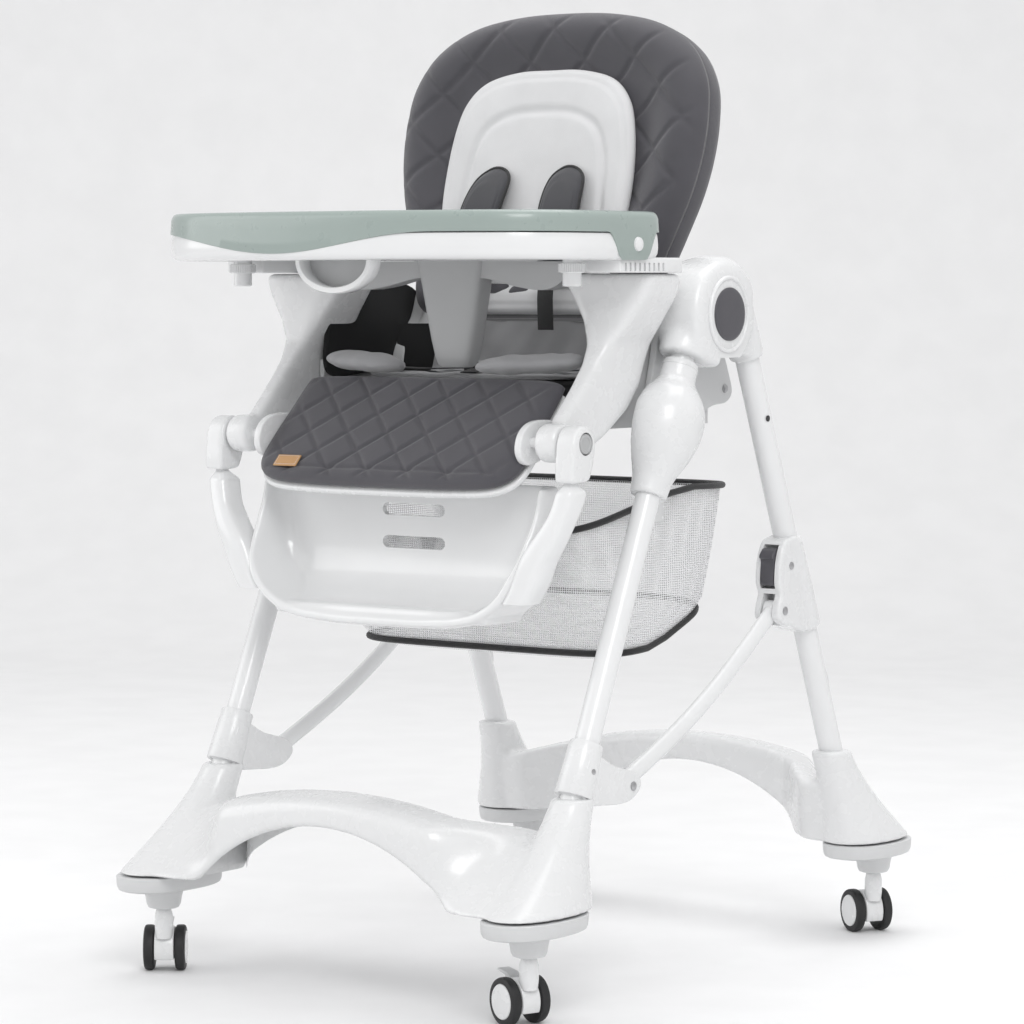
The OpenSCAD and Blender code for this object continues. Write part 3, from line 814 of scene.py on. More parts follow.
def link_piece(s, name, mat):
    """Bowed round link between the two forks."""
    p, q = np.array(LINK_P), np.array(LINK_Q)
    d = q - p
    n = np.array((d[1], -d[0])) / np.linalg.norm(d)
    pts = []
    for i in range(41):
        t = i / 40
        c = p + d * t + n * (13.0 * math.sin(math.pi * t))
        pts.append((s * LEG_X, c[0], c[1]))
    strand = pipe("strand", pts, 10.5, mat, 28, flat=0.68)
    ends = [lathe("eye", (s * 243.2, e[0], e[1]), (s, 0, 0),
                  [(0, 10.5), (0.8, 11.8), (12.8, 11.8), (13.6, 10.5)], mat, 44) for e in (p, q)]
    ob = join(name, [strand] + ends)
    return ob


def latch_piece(s, name, mat):
    """Dark rocker in the sleeve's window."""
    outline = spline([(126.2, 441), (135, 438.5), (139.6, 442), (143.0, 474), (140, 480.5),
                      (131, 481), (123.4, 472), (127.5, 466)], 5)
    lo, hi = sorted((s * 241.0, s * 259.0))
    return plate(name, [tuple(p) for p in outline], lo, hi, "x", mat, 2.4, 3)


# ---------- casters ----------

def caster_point(key):
    """Maps a caster's own place (along, across, z) to the chair; gives its axle too."""
    x, y, deg = CASTERS[key]
    a = math.radians(deg)
    c, s = math.cos(a), math.sin(a)
    return lambda u, v, z: (x + u * c - v * s, y + u * s + v * c, z), (-s, c, 0.0)


def slab(name, at, outline, half, mat):
    """Side outline of a caster part, thickened half each way."""
    n = len(outline)
    verts = [at(u, -half, z) for u, z in outline] + [at(u, half, z) for u, z in outline]
    faces = [tuple(range(n))[::-1], tuple(range(n, 2 * n))]
    faces += [(k, (k + 1) % n, n + (k + 1) % n, n + k) for k in range(n)]
    return outward(build(name, verts, faces, mat, smooth=False))


def caster_fork(key, trail, wheel, mat):
    """Hooded barrel between the wheels, with the stem ahead of it."""
    at = caster_point(key)[0]
    parts = []
    hood = []
    for i in range(33):
        a = math.radians(-28 + 236 * i / 32)
        hood.append((trail + 24.6 * math.cos(a), wheel + 24.6 * math.sin(a)))
    parts.append(rounded(slab("hood", at, hood, 11.2, mat), 1.4, 3, 40))
    parts.append(lathe("post", at(0, 0, 38), (0, 0, 1), [(0, 3), (2, 9.5), (12, 10.5), (28, 10.5),
                                                         (34, 9.0), (38, 6.5), (44, 5.5)], mat, 40))
    return join("caster_fork_piece_" + key, parts)


def caster_wheels(key, trail, wheel, white, tyre):
    """Twin wheels with black tyres on one axle."""
    at, axle = caster_point(key)
    out = []
    a = np.array(axle)
    for s in (-1, 1):
        o = at(trail, s * 11.8, wheel)
        out.append(lathe("tyre", o, a * s, [(0, 17), (0.3, 23.5), (1.6, 25.5), (4, 26), (9, 26),
                                            (11, 25.2), (12.0, 23.2), (12.2, 19.8), (11.4, 19)],
                         tyre, 72))
        out.append(lathe("disc", o, a * s, [(8, 19.2), (11.6, 19.2), (12.6, 18.4), (13.0, 15),
                                            (13.2, 0.01)], white, 72))
        out.append(lathe("hub", o, a * s, [(-0.2, 8), (0.6, 17.2), (1.2, 17.2)], white, 48))
    out.append(lathe("axle", at(trail, -11.9, wheel), a, [(0, 2.6), (23.8, 2.6)], white, 24))
    return join("caster_wheel_piece_" + key, out)


def brake_piece(key, name, trail, mat):
    """Lever that lies on the hood behind the stem."""
    at = caster_point(key)[0]
    pts = [(trail + 9, 46), (trail + 9, 50.5), (trail + 16, 54.2), (trail + 34, 56.2),
           (trail + 35, 53.6), (trail + 19, 50.5), (trail + 18, 46)]
    return rounded(slab(name, at, pts, 7.5, mat), 1.0, 3, 30)


# ---------- repeated details (geometry nodes) ----------

def scatter(name, points, normals, tool, mat):
    """Repeats a small piece on points, its x axis along each normal, as one plain mesh."""
    base = build(name, points, [])
    turn = base.data.attributes.new("aim", "FLOAT_VECTOR", "POINT")
    turn.data.foreach_set("vector", [float(c) for n in normals for c in n])
    tree = bpy.data.node_groups.new(name + "_nodes", "GeometryNodeTree")
    tree.interface.new_socket("Geometry", in_out="INPUT", socket_type="NodeSocketGeometry")
    piece = tree.interface.new_socket("Piece", in_out="INPUT", socket_type="NodeSocketObject")
    finish = tree.interface.new_socket("Finish", in_out="INPUT", socket_type="NodeSocketMaterial")
    tree.interface.new_socket("Geometry", in_out="OUTPUT", socket_type="NodeSocketGeometry")
    new, link = tree.nodes.new, tree.links.new
    gin, gout = new("NodeGroupInput"), new("NodeGroupOutput")
    info, on, real = new("GeometryNodeObjectInfo"), new("GeometryNodeInstanceOnPoints"), \
        new("GeometryNodeRealizeInstances")
    dye, aim = new("GeometryNodeSetMaterial"), new("GeometryNodeInputNamedAttribute")
    align = new("FunctionNodeAlignRotationToVector")
    align.axis = "X"
    aim.data_type = "FLOAT_VECTOR"
    aim.inputs["Name"].default_value = "aim"
    link(gin.outputs["Geometry"], on.inputs["Points"])
    link(gin.outputs["Piece"], info.inputs["Object"])
    link(info.outputs["Geometry"], on.inputs["Instance"])
    link(aim.outputs["Attribute"], align.inputs["Vector"])
    link(align.outputs["Rotation"], on.inputs["Rotation"])
    link(on.outputs["Instances"], real.inputs["Geometry"])
    link(real.outputs["Geometry"], dye.inputs["Geometry"])
    link(gin.outputs["Finish"], dye.inputs["Material"])
    link(dye.outputs["Geometry"], gout.inputs["Geometry"])
    m = base.modifiers.new("repeat", "NODES")
    m.node_group = tree
    m[piece.identifier] = tool
    m[finish.identifier] = mat
    bake(base)
    drop(tool)
    return shade(base, 35)


def stitches(name, path, mat, pitch=5.0, length=3.2, r=0.45):
    """A row of short threads along a path."""
    run = float(np.sum(np.linalg.norm(np.diff(np.array(path), axis=0), axis=1)))
    pts = even(path, max(3, int(run / pitch)), closed=False)
    aims = np.gradient(pts, axis=0)
    tool = lathe("thread", (-length / 2, 0, 0), (1, 0, 0),
                 [(0, 0.01), (0.5, r), (length - 0.5, r), (length, 0.01)], mat, 6)
    return scatter(name, pts, aims, tool, mat)


def knurls(name, centre, r, height, count, mat):
    """Upright ribs round a thumb ring."""
    x, y, z = centre
    pts = [(x + c * r, y + s * r, z) for c, s in circle(count, 1.0)]
    aims = [(c, s, 0) for c, s in circle(count, 1.0)]
    tool = box("rib", (-1.0, -0.6, -height / 2), (0.8, 0.6, height / 2), mat)
    return scatter(name, pts, aims, tool, mat)


# ---------- seat ----------

def armrest(mat):
    """Flared armrest panel running down to the legrest pivot."""
    heights = [600, 622, 650, 676, 700, 722, 748, 776, 792, 798, 800.4]
    table = {"x0": [206, 205, 205, 205, 204, 199, 186, 167, 156, 154, 157],
             "x1": [223, 225, 226, 227, 228, 234, 251, 271, 276, 276, 273],
             "y0": [-268, -262, -234, -208, -186, -170, -160, -156, -156, -156, -153],
             "y1": [-205, -160, -118, -96, -88, -84, -82, -82, -82, -82, -85]}
    rings = []
    for i in range(61):
        z = 600 + 200.4 * i / 60
        x0, x1, y0, y1 = (float(np.interp(z, heights, table[k])) for k in ("x0", "x1", "y0", "y1"))
        rings.append([((x0 + x1) / 2 + (x1 - x0) / 2 * blunt(c, 0.3),
                       (y0 + y1) / 2 + (y1 - y0) / 2 * blunt(d, 0.3), z)
                      for c, d in circle(96, 1.0)])
    body = outward(build("arm", *loft(rings), mat))
    boss = lathe("boss", (206, *LEG_HUB), (1, 0, 0),
                 [(0, 19), (2, 21.5), (24, 21.5), (28, 19.5), (29, 15)], mat, 56)
    right = fuse("armrest", [body, boss], mat, 2.2, 7)
    left = mirrored(right, "armrest_l")
    return join("side_panel_pieces", [right, left])


def carriage(mat):
    """Bulb-shaped carriage on the front tube, flat against the armrest."""
    out = []
    prof = [(0, 14.4), (0.3, 19.6), (2, 20.8), (10, 21.6), (22, 23.5), (36, 29.0), (52, 36.0),
            (68, 40.6), (82, 42.6), (95, 42.6), (108, 39.5), (121, 33.0), (131, 25.5), (137, 22.0),
            (141, 20.8), (158, 20.2), (160, 19.4), (160.3, 14.4)]
    fine = spline(prof[2:-2], 4, closed=False)
    prof = prof[:2] + [tuple(p) for p in fine] + prof[-2:]
    for s in (-1, 1):
        (ya, za) = front_leg(554)
        ob = lathe("bulb", (s * LEG_X, ya, za), FRONT_UP, prof, mat, 80)
        for v in ob.data.vertices:
            inner = 231.2 * MM
            if abs(v.co.x) < inner:
                v.co.x = s * (inner - (inner - abs(v.co.x)) * 0.08)
        (yr, zr) = front_leg(694)
        ring = lathe("ring", (s * LEG_X, yr, zr), FRONT_UP,
                     [(0, 20.0), (0.4, 21.0), (1.4, 21.0), (1.8, 20.0)], mat, 64)
        out += [ob, ring]
    return join("carriage_pieces", out)


def brackets(mat, steel):
    """Pivot plates at the seat's rear corners."""
    out = []
    for s in (-1, 1):
        lo, hi = sorted((s * 204.5, s * 213.5))
        pts = spline([(-58, 632), (20, 634), (66, 648), (96, 652), (108, 664), (102, 684), (84, 720),
                      (60, 742), (-30, 742), (-52, 700)], 6)
        out.append(plate("bracket", [tuple(p) for p in pts], lo, hi, "x", mat, 2.0))
        out.append(screw(s * 213.4, 92, 668, s, steel, 5.0))
    return join("recline_bracket_pieces", out)


def thigh_roll(s, mat):
    """Soft roll over the front of the seat."""
    pts = [(s * 60, -158, 694), (s * 78, -166, 697), (s * 105, -163, 699), (s * 135, -152, 700),
           (s * 158, -140, 702), (s * 172, -128, 704)]
    path = spline(pts, 8, closed=False)
    n = len(path)
    rings = []
    for i, p in enumerate(path):
        t = np.array(path[min(i + 1, n - 1)]) - np.array(path[max(i - 1, 0)])
        t /= np.linalg.norm(t)
        side = np.cross(t, (0, 0, 1))
        side /= np.linalg.norm(side)
        up = np.cross(side, t)
        f = i / (n - 1)
        swell = (1 - abs(2 * f - 1) ** 3.2) ** 0.5
        fold = 0.9 * math.sin(f * 23.0) + 0.6 * math.sin(f * 41.0)
        rings.append([p + side * ((30 + fold) * max(swell, 0.04) * c)
                      + up * ((11.0 + fold * 0.5) * max(swell, 0.04) * sn)
                      for c, sn in circle(40, 1.0)])
    ob = outward(build("roll", *loft(rings), mat))
    seam = pipe("seam", [p + np.array((0, -27.0 * (1 - abs(2 * i / (n - 1) - 1) ** 4) ** 0.5, -2.5))
                         for i, p in enumerate(path)][2:-2], 1.0, mat, 8)
    return [ob, seam]


def creased(name, lo, hi, mat, rim, dent):
    """A flat cushion with rounded rims and a shaped top."""
    x0, y0, z0 = lo
    x1, y1, z1 = hi
    cx, cy = 0.5 * (x0 + x1), 0.5 * (y0 + y1)
    hx, hy = 0.5 * (x1 - x0), 0.5 * (y1 - y0)
    pts = []
    for k in range(160):
        a = 2 * math.pi * k / 160
        c, s = math.cos(a), math.sin(a)
        pts.append((cx + hx * blunt(c, 0.4), cy + hy * blunt(s, 0.4)))
    zc = 0.5 * (z0 + z1)
    return pad(name, pts, lambda u, v, h: (u, v, zc + h), z1 - zc, zc - z0, mat, 44, rim, dent,
               2.4, 260)


def drape(name, path, half, thick, mat, wave_=0.0):
    """Cloth hung along a (y, z) path across the seat, with soft folds."""
    path = spline(path, 8, closed=False)
    n = len(path)
    rings = []
    for i, (y, z) in enumerate(path):
        t = np.array(path[min(i + 1, n - 1)]) - np.array(path[max(i - 1, 0)])
        t /= np.linalg.norm(t)
        ring = []
        for side in (1, -1):
            for k in range(61):
                x = (half - 2 * half * k / 60) * side
                fold = wave_ * (math.sin(x * 0.075 + i * 0.16) + 0.6 * math.sin(x * 0.16 - i * 0.3))
                off = fold + side * thick / 2 * (1 - (abs(x) / half) ** 12)
                ring.append((x, y - t[1] * off, z + t[0] * off))
        rings.append(ring)
    return outward(build(name, *loft(rings), mat))


def ribbon(name, path, width, thick, across, mat):
    """Flat webbing along a path; across is the direction of its width."""
    p = np.array(path, float)
    w = np.array(across, float)
    w /= np.linalg.norm(w)
    rings = []
    for i in range(len(p)):
        t = p[min(i + 1, len(p) - 1)] - p[max(i - 1, 0)]
        t /= np.linalg.norm(t)
        n = np.cross(w, t)
        n /= np.linalg.norm(n)
        h, b = width / 2, thick / 2
        rings.append([p[i] + w * a + n * c for a, c in (
            (-h, -b * 0.4), (-h + b, -b), (h - b, -b), (h, -b * 0.4), (h, b * 0.4), (h - b, b),
            (-h + b, b), (-h, b * 0.4))])
    return outward(build(name, *loft(rings), mat))


# ---------- backrest ----------

BACK_HALF = [(0, 424), (70, 421), (132, 408), (180, 380), (207, 340), (215, 296), (214, 250),
             (206, 206), (191, 160), (173, 110), (160, 66), (120, 58), (60, 57), (0, 57)]
LINER_HALF = [(0, 350), (46, 349), (90, 338), (116, 314), (128, 280), (134, 236), (134, 190),
              (128, 140), (120, 90), (110, 62), (60, 58), (0, 58)]


def both(half):
    """Mirrors a half outline given from top centre to bottom centre."""
    return [tuple(p) for p in half] + [(-x, v) for x, v in half[-2:0:-1]]


def back_cover(mat):
    """Quilted cover wrapped round the backrest's shell."""
    outline = spline(both(BACK_HALF), 8)
    quilt = diamonds(78.0, 74.0, 2.6, 5.0, (0.0, 30.0))

    def belly(u, v, f, s):
        dish = 17.0 * rise((0.86 - f) / 0.24) if s > 0 else 0.0
        return quilt(u, v, f, s) * (1 - rise((f - 0.9) / 0.1)) + dish
    return pad("back_cover_piece", outline, lambda u, v, h: on_back(u, -h, v), 31.0, -8.0, mat,
               90, 0.14, belly, 2.0, 520)


def back_boxing(mat, piping):
    """Side band of the cover, from the face round to the back."""
    outline = even(spline(both(BACK_HALF), 8), 300)
    centre = outline.mean(axis=0)
    rings = []
    for d, y in ((10.0, -12.0), (3.5, -9.0), (0.6, -2.0), (0.0, 8.0), (0.4, 18.0), (2.0, 26.0),
                 (6.5, 31.0), (14.0, 33.6), (24.0, 34.2), (24.0, 15.0), (16.0, 6.0)):
        ring = []
        for q in outline:
            r = q - centre
            u, v = q - r / np.linalg.norm(r) * d
            ring.append(on_back(u, y, v))
        rings.append(ring)
    band = outward(build("boxing", *loft(rings, closed=True), mat))
    cord = [on_back(*(lambda w: (w[0], -10.5, w[1]))(q - (q - centre) / np.linalg.norm(q - centre) * 5.0))
            for q in outline]
    seam = loop_pipe("seam", cord, 1.7, piping)
    return [band, seam]


def back_liner(mat):
    """White liner with a raised rim and an inner panel seam."""
    outline = spline(both(LINER_HALF), 8)
    inner = even(spline([(0, 300), (44, 297), (78, 280), (94, 246), (99, 200), (98, 150), (90, 104),
                         (60, 92), (0, 90), (-60, 92), (-90, 104), (-98, 150), (-99, 200),
                         (-94, 246), (-78, 280), (-44, 297)], 6), 220)

    def dent(u, v, f, side):
        if side < 0:
            return 0.0
        d = float(np.min(np.hypot(inner[:, 0] - u, inner[:, 1] - v)))
        seam = 3.4 * math.exp(-(d / 5.0) ** 2)
        soft = 0.8 * math.sin(u * 0.045 + v * 0.03) + 0.6 * math.sin(v * 0.07 - u * 0.03)
        edge = 1.6 * math.exp(-((f - 0.93) / 0.018) ** 2)
        return seam + soft * 0.6 + edge
    ob = pad("back_liner_piece", outline, lambda u, v, h: on_back(u, -22.0 - h, v), 9.5, 8.5, mat,
             80, 0.10, dent, 2.2, 420)
    return ob


def shoulder_pad(s, mat, piping):
    """Dark pad curving forward out of the liner, edged with black binding."""
    half = spline([(-25, 2), (-27, 40), (-27, 90), (-22, 128), (-6, 144), (12, 142), (25, 126),
                   (28, 88), (26, 40), (24, 2), (0, -4)], 6)

    def put(u, v, h):
        t = v / 144.0
        lean = 0.35 * s * (1 - t)
        x = s * 52 + u + 34 * lean
        forward = -33.5 - 16.0 * math.sin(math.pi * min(1.0, t * 1.02)) - 5.0 * (1 - t)
        return on_back(x, forward - h, 96 + v * 0.93)
    body = pad("pad", half, put, 6.0, 3.5, mat, 26, 0.3,
               lambda u, v, f, side: 1.2 * math.exp(-((f - 0.82) / 0.02) ** 2) if side > 0 else 0.0,
               2.0, 150)
    rim = loop_pipe("rim", [put(q[0], q[1], 1.0) for q in even(half, 90)], 2.0, piping, 8)
    return [body, rim]


# ---------- legrest ----------

CALF_TOP = np.array((-177.0, 681.0))
CALF_DIR = np.array((-0.698, -0.716))
CALF_OUT = np.array((-0.716, 0.698))


def on_calf(x, run, lift):
    """Point on the legrest: across, down the slope, out from it."""
    p = CALF_TOP + CALF_DIR * run + CALF_OUT * lift
    return (x, p[0], p[1])


CALF_HALF = [(0, 0), (90, 0), (150, 1), (176, 4), (182, 14), (184, 60), (186, 104), (183, 132),
             (170, 148), (146, 156), (100, 159), (50, 160), (0, 160)]


def calf_cushion(mat):
    """Quilted pad of the legrest, with a hem across its foot."""
    outline = spline(both(CALF_HALF), 7)
    quilt = diamonds(56.0, 56.0, 2.4, 4.2, (10.0, 6.0))

    def dent(u, v, f, side):
        if side < 0:
            return 0.0
        hem = 1.8 * math.exp(-((v - 143) / 3.0) ** 2) if abs(u) < 165 else 0.0
        crease = 0.9 * math.sin(u * 0.08) * rise((v - 100) / 60)
        return quilt(u, v) * (1 - rise((f - 0.88) / 0.1)) + hem + crease * (1 - rise((f - 0.9) / 0.1))
    return pad("calf_cushion_piece", outline, lambda u, v, h: on_calf(u, v, h - 4.0), 13.0, 5.0,
               mat, 70, 0.12, dent, 2.2, 420)


def calf_plate(mat):
    """Board under the calf cushion with its rounded lower lip."""
    outline = [tuple(p) for p in even(spline([(x * 1.0, v + 3.5 if v > 100 else v + 6)
                                              for x, v in both(CALF_HALF)], 6), 160)]
    n = len(outline)
    lo = [on_calf(u, v, -16.5) for u, v in outline]
    hi = [on_calf(u, v, -9.3) for u, v in outline]
    faces = [tuple(range(n))[::-1], tuple(range(n, 2 * n))]
    faces += [(k, (k + 1) % n, n + (k + 1) % n, n + k) for k in range(n)]
    board = rounded(outward(build("board", lo + hi, faces, mat, smooth=False)), 2.4, 3, 30)
    out = [board]
    for s in (-1, 1):
        ear = spline([(-205, 636), (-222, 604), (-258, 592), (-274, 606), (-268, 628), (-244, 640)], 6)
        lo_, hi_ = sorted((s * 181.0, s * 190.0))
        out.append(plate("ear", [tuple(p) for p in ear], lo_, hi_, "x", mat, 2.0))
    return join("calf_board_piece", out)


def leather_tag(mat, thread):
    """Small blank tag sewn on the lower corner of the calf cushion."""
    pts = [(a * 16.5, b * 8.0) for a, b in ((-1, -1), (1, -1), (1, 1), (-1, 1))]
    verts = []
    for lift in (9.2, 11.0):
        verts += [on_calf(-134 + a, 138 - b, lift) for a, b in pts]
    faces = [(0, 1, 2, 3), (7, 6, 5, 4)] + [(k, (k + 1) % 4, 4 + (k + 1) % 4, 4 + k) for k in range(4)]
    tag = rounded(outward(build("tag", verts, faces, mat, smooth=False)), 0.6, 2, 40)
    path = [on_calf(-134 + a * 14.5, 138 - b * 6.2, 11.2)
            for a, b in ((-1, -1), (1, -1), (1, 1), (-1, 1), (-1, -1))]
    fine = []
    for i in range(4):
        for k in range(8):
            fine.append(np.array(path[i]) + (np.array(path[i + 1]) - np.array(path[i])) * (k / 8))
    return join("calf_tag_piece", [tag, stitches("tag_thread", fine, thread, 2.6, 1.7, 0.3)])


def knuckle(mat):
    """Legrest hub with the socket for the footrest arm."""
    out = []
    for s in (-1, 1):
        hub = lathe("hub", (s * 236.5, *LEG_HUB), (s, 0, 0),
                    [(0, 19.0), (1.5, 20.5), (21, 20.5), (24.5, 18.8), (25.6, 15), (25.7, 12.2)],
                    mat, 64)
        lo, hi = sorted((s * 236.5, s * 261.5))
        socket = spline([(-273, 622), (-262, 634), (-243, 633), (-233, 618), (-236, 596), (-242, 580),
                         (-248, 576), (-272, 575), (-277, 580), (-276, 602)], 5)
        arm = plate("socket", [tuple(p) for p in socket], lo, hi, "x", mat, 4.0, 4)
        out.append(fuse("knuckle", [hub, arm], mat, 2.0, 4, cuts=[
            lathe("well", (s * 253.6, *LEG_HUB), (s, 0, 0), [(0, 12.6), (12, 12.6)], mat, 48)]))
        out.append(bar("axle", (s * 188, *LEG_HUB), (s * 237, *LEG_HUB), 5.8, mat))
    return join("legrest_knuckle_pieces", out)


def footrest_shell(mat):
    """Glossy tub with a raised rim, two slots and the side arms."""
    half = spline([(0, 408), (70, 409), (130, 416), (170, 438), (192, 474), (199, 520), (200, 566)], 10,
                  closed=False)
    path = [(-x, z) for x, z in half[:0:-1]] + [(x, z) for x, z in half]
    path = even(path, 150, closed=False)
    n = len(path)
    rings = []
    for i in range(n):
        x, z = path[i]
        t = path[min(i + 1, n - 1)] - path[max(i - 1, 0)]
        t /= np.linalg.norm(t)
        nx, nz = -t[1], t[0]
        low = rise((500 - z) / 80)
        y_f = -246 - 44 * rise((566 - z) / 118) - 2
        w = 9.5 + 2.0 * low
        ring = []
        for off, y in ((0, -212), (0.2, -240 + 6 * (1 - low)), (0, y_f + 10), (0.8, y_f + 3), (3.5, y_f),
                       (w - 2.5, y_f), (w, y_f + 3), (w + 1.0, y_f + 12),
                       (w + 4 + 10 * low, -230), (w + 14 + 26 * low, -219), (w + 14 + 26 * low, -212)):
            ring.append((x + nx * off, y, z + nz * off))
        rings.append(ring)
    wall = outward(build("wall", *loft(rings), mat))
    face = [(x, z) for x, z in path]
    back = plate("back", [(x * 0.985, z + 3) for x, z in face], -219.5, -212.2, "y", mat, 1.5)
    bottom = []
    for i in range(13):
        a = math.radians(90 * i / 12)
        bottom.append((-219 - 66 * (1 - math.cos(a)) * 0.98, 496 - 66 * math.sin(a)))
    wedge = [(-213, 496)] + bottom + [(-284, 416), (-213, 416)]
    ramp = plate("ramp", wedge, -150, 150, "x", mat)
    cuts = []
    for z in (498, 535):
        slot = [(a * 37 + b * 7.5 * c, z + 7.0 * s2) for a in (-1, 1)
                for c, s2, b in [(math.cos(t), math.sin(t), 1)
                                 for t in np.linspace(math.pi / 2 + (a > 0) * math.pi,
                                                      math.pi * 1.5 + (a > 0) * math.pi, 9)]]
        cuts.append(plate("slot", slot, -232, -205, "y", mat))
    tub = fuse("tub", [wall, back, ramp], mat, 2.3, 10, cuts=cuts)
    out = [tub]
    for s in (-1, 1):
        run = spline([(249, 612), (249, 590), (247, 566), (240, 540), (227, 515), (212, 490),
                      (201, 464), (188, 442)], 8, closed=False)
        rings = []
        for x, z in run:
            t = rise((576 - z) / 14)
            y = -259.5 + 0.12087 * (z - 592) * (1 - rise((560 - z) / 90)) \
                - (15 * rise((560 - z) / 90)) + 4 * t
            hw = 5.5 + 7.5 * t + 6.0 * rise((545 - z) / 50)
            hd = 6.0 + 12.0 * t
            rings.append([(s * (x + hw * blunt(c, 0.6)),
                           y + hd * blunt(d, 0.6), z) for c, d in circle(40, 1.0)])
        out.append(outward(build("arm", *loft(rings), mat)))
    return join("footrest_piece", out)


# ---------- basket ----------

def basket_rings(inset):
    """Closed loops from the middle of the floor out and up to the rim."""
    rim = [(-200, 512), (11, 557), (148, 554)]
    loops = []
    for f, drop_ in ((0.02, 1.0), (0.3, 1.0), (0.6, 0.99), (0.85, 0.96), (0.97, 0.9), (1.0, 0.82),
                     (1.0, 0.6), (1.0, 0.4), (1.0, 0.2), (1.0, 0.0)):
        loop = []
        for k in range(120):
            a = 2 * math.pi * k / 120
            c, s = math.cos(a), math.sin(a)
            sx = blunt(c, 0.34)
            sy = blunt(s, 0.34)
            up = 1 - min(1.0, drop_ / 0.96)
            x = sx * (f * (194 + 10.5 * up ** 0.7) - inset)
            y_lo = -88 + (-200 + 88) * up
            y_hi = 98 + (148 - 98) * up
            cy, hy = 0.5 * (y_lo + y_hi), 0.5 * (y_hi - y_lo)
            y = cy + sy * (hy * f - inset)
            zr = float(np.interp(y, [p[0] for p in rim], [p[1] for p in rim]))
            floor = float(np.interp(y, [-95, -18, 105], [361, 366, 416])) - 2.0 * (1 - f)
            z = floor + (zr - floor) * up + (inset if drop_ > 0.5 else 0.0)
            bulge = 3.0 * math.sin(math.pi * up)
            loop.append((x + sx * bulge * (f == 1.0), y, z))
        loops.append(loop)
    return loops


def basket_net(mat):
    """The basket's netting."""
    outer, inner = basket_rings(0.0), basket_rings(1.3)
    return outward(build("basket_net_piece", *loft(outer + inner[::-1]), mat))


def basket_binding(mat):
    """Bound edges of the basket."""
    loops = basket_rings(-1.6)
    rim, low = loops[-1], loops[4]
    return join("basket_binding_piece", [loop_pipe("rim", rim, 3.8, mat, 10),
                                         loop_pipe("low", low, 3.8, mat, 10)])


def hangers(mat):
    """Straps that hold the basket to the seat."""
    out = []
    for s in (-1, 1):
        out.append(ribbon("hanger", [(s * 207.4, -40, 520), (s * 207.2, -40, 560),
                                     (s * 206.6, -40, 600), (s * 206.4, -40, 632)],
                          34, 1.2, (0, 1, 0), mat))
    return join("basket_hanger_pieces", out)


# ---------- tray ----------

TRAY_HALF = [(0, -395), (80, -393), (150, -385), (208, -371), (250, -345), (276, -305), (284, -258),
             (285, -200), (283, -156), (270, -130), (240, -119), (190, -119), (140, -124),
             (114, -140), (98, -162), (60, -182), (0, -190)]


def tray_outline(count=360):
    """The tray's outer outline."""
    pts = [tuple(p) for p in TRAY_HALF] + [(-x, y) for x, y in TRAY_HALF[-2:0:-1]]
    return even(spline(pts, 8), count)


def inward(outline, d):
    """The outline moved inward by d."""
    p = np.array(outline)
    t = np.roll(p, -1, axis=0) - np.roll(p, 1, axis=0)
    t /= np.linalg.norm(t, axis=1)[:, None]
    n = np.stack([-t[:, 1], t[:, 0]], axis=1)
    area = np.sum(p[:, 0] * np.roll(p[:, 1], -1) - np.roll(p[:, 0], -1) * p[:, 1])
    if area < 0:
        n = -n
    q = p + n * d
    for _ in range(int(abs(d) * 0.6)):
        q = 0.25 * np.roll(q, 1, axis=0) + 0.5 * q + 0.25 * np.roll(q, -1, axis=0)
    return q


def wave(x, y):
    """Height where the coloured insert stops and the white rim shows."""
    if y < -300:
        dip = 23.0 * (0.5 + 0.5 * math.cos(math.pi * min(1.0, abs(x + 60) / 215.0)))
    else:
        dip = 0.0
    tab = 30.0 * rise(1 - max(0.0, abs(y + 195) - 22) / 26.0) if abs(x) > 262 and y > -300 else 0.0
    return 848.0 - max(dip, tab) - 3.0


def tray_rim(mat):
    """White rim and underside of the tray."""
    o = tray_outline()
    rings = []
    for d, z in ((20, 842), (12, 843.5), (4.0, 844), (1.6, 843.5), (0.8, 841), (0.2, 834), (0.0, 828),
                 (0.8, 822), (3.0, 817.5), (7.0, 815.2), (14, 814.6), (22, 816.5), (30, 819),
                 (44, 819.5), (60, 820)):
        rings.append([(p[0], p[1], z) for p in inward(o, d)])
    shell = outward(build("rim", *loft(rings), mat))
    out = [shell]
    for s in (-1, 1):
        lo, hi = sorted((s * 226, s * 280))
        slots = [plate("groove", [(-206 + i * 9.0, 803), (-202.5 + i * 9.0, 803),
                                  (-202.5 + i * 9.0, 812), (-206 + i * 9.0, 812)],
                       *sorted((s * 276, s * 284)), "x", mat) for i in range(9)]
        rail = plate("rail", [(-214, 801.2), (-94, 801.2), (-94, 818), (-214, 818)], lo, hi, "x",
                     mat, 2.5)
        out.append(cut_by(rail, slots))
        out.append(lathe("post", (s * 234, -240, 786), (0, 0, 1), [(0, 9), (1, 10.5), (32, 10.5)],
                         mat, 40))
        out.append(lathe("ring", (s * 234, -240, 800.8), (0, 0, 1),
                         [(0, 13), (1, 14.2), (10, 14.2), (11, 13)], mat, 48))
        out.append(knurls("ribs", (s * 234, -240, 806.3), 14.4, 9.0, 40, mat))
    return join("tray_rim_piece", out)


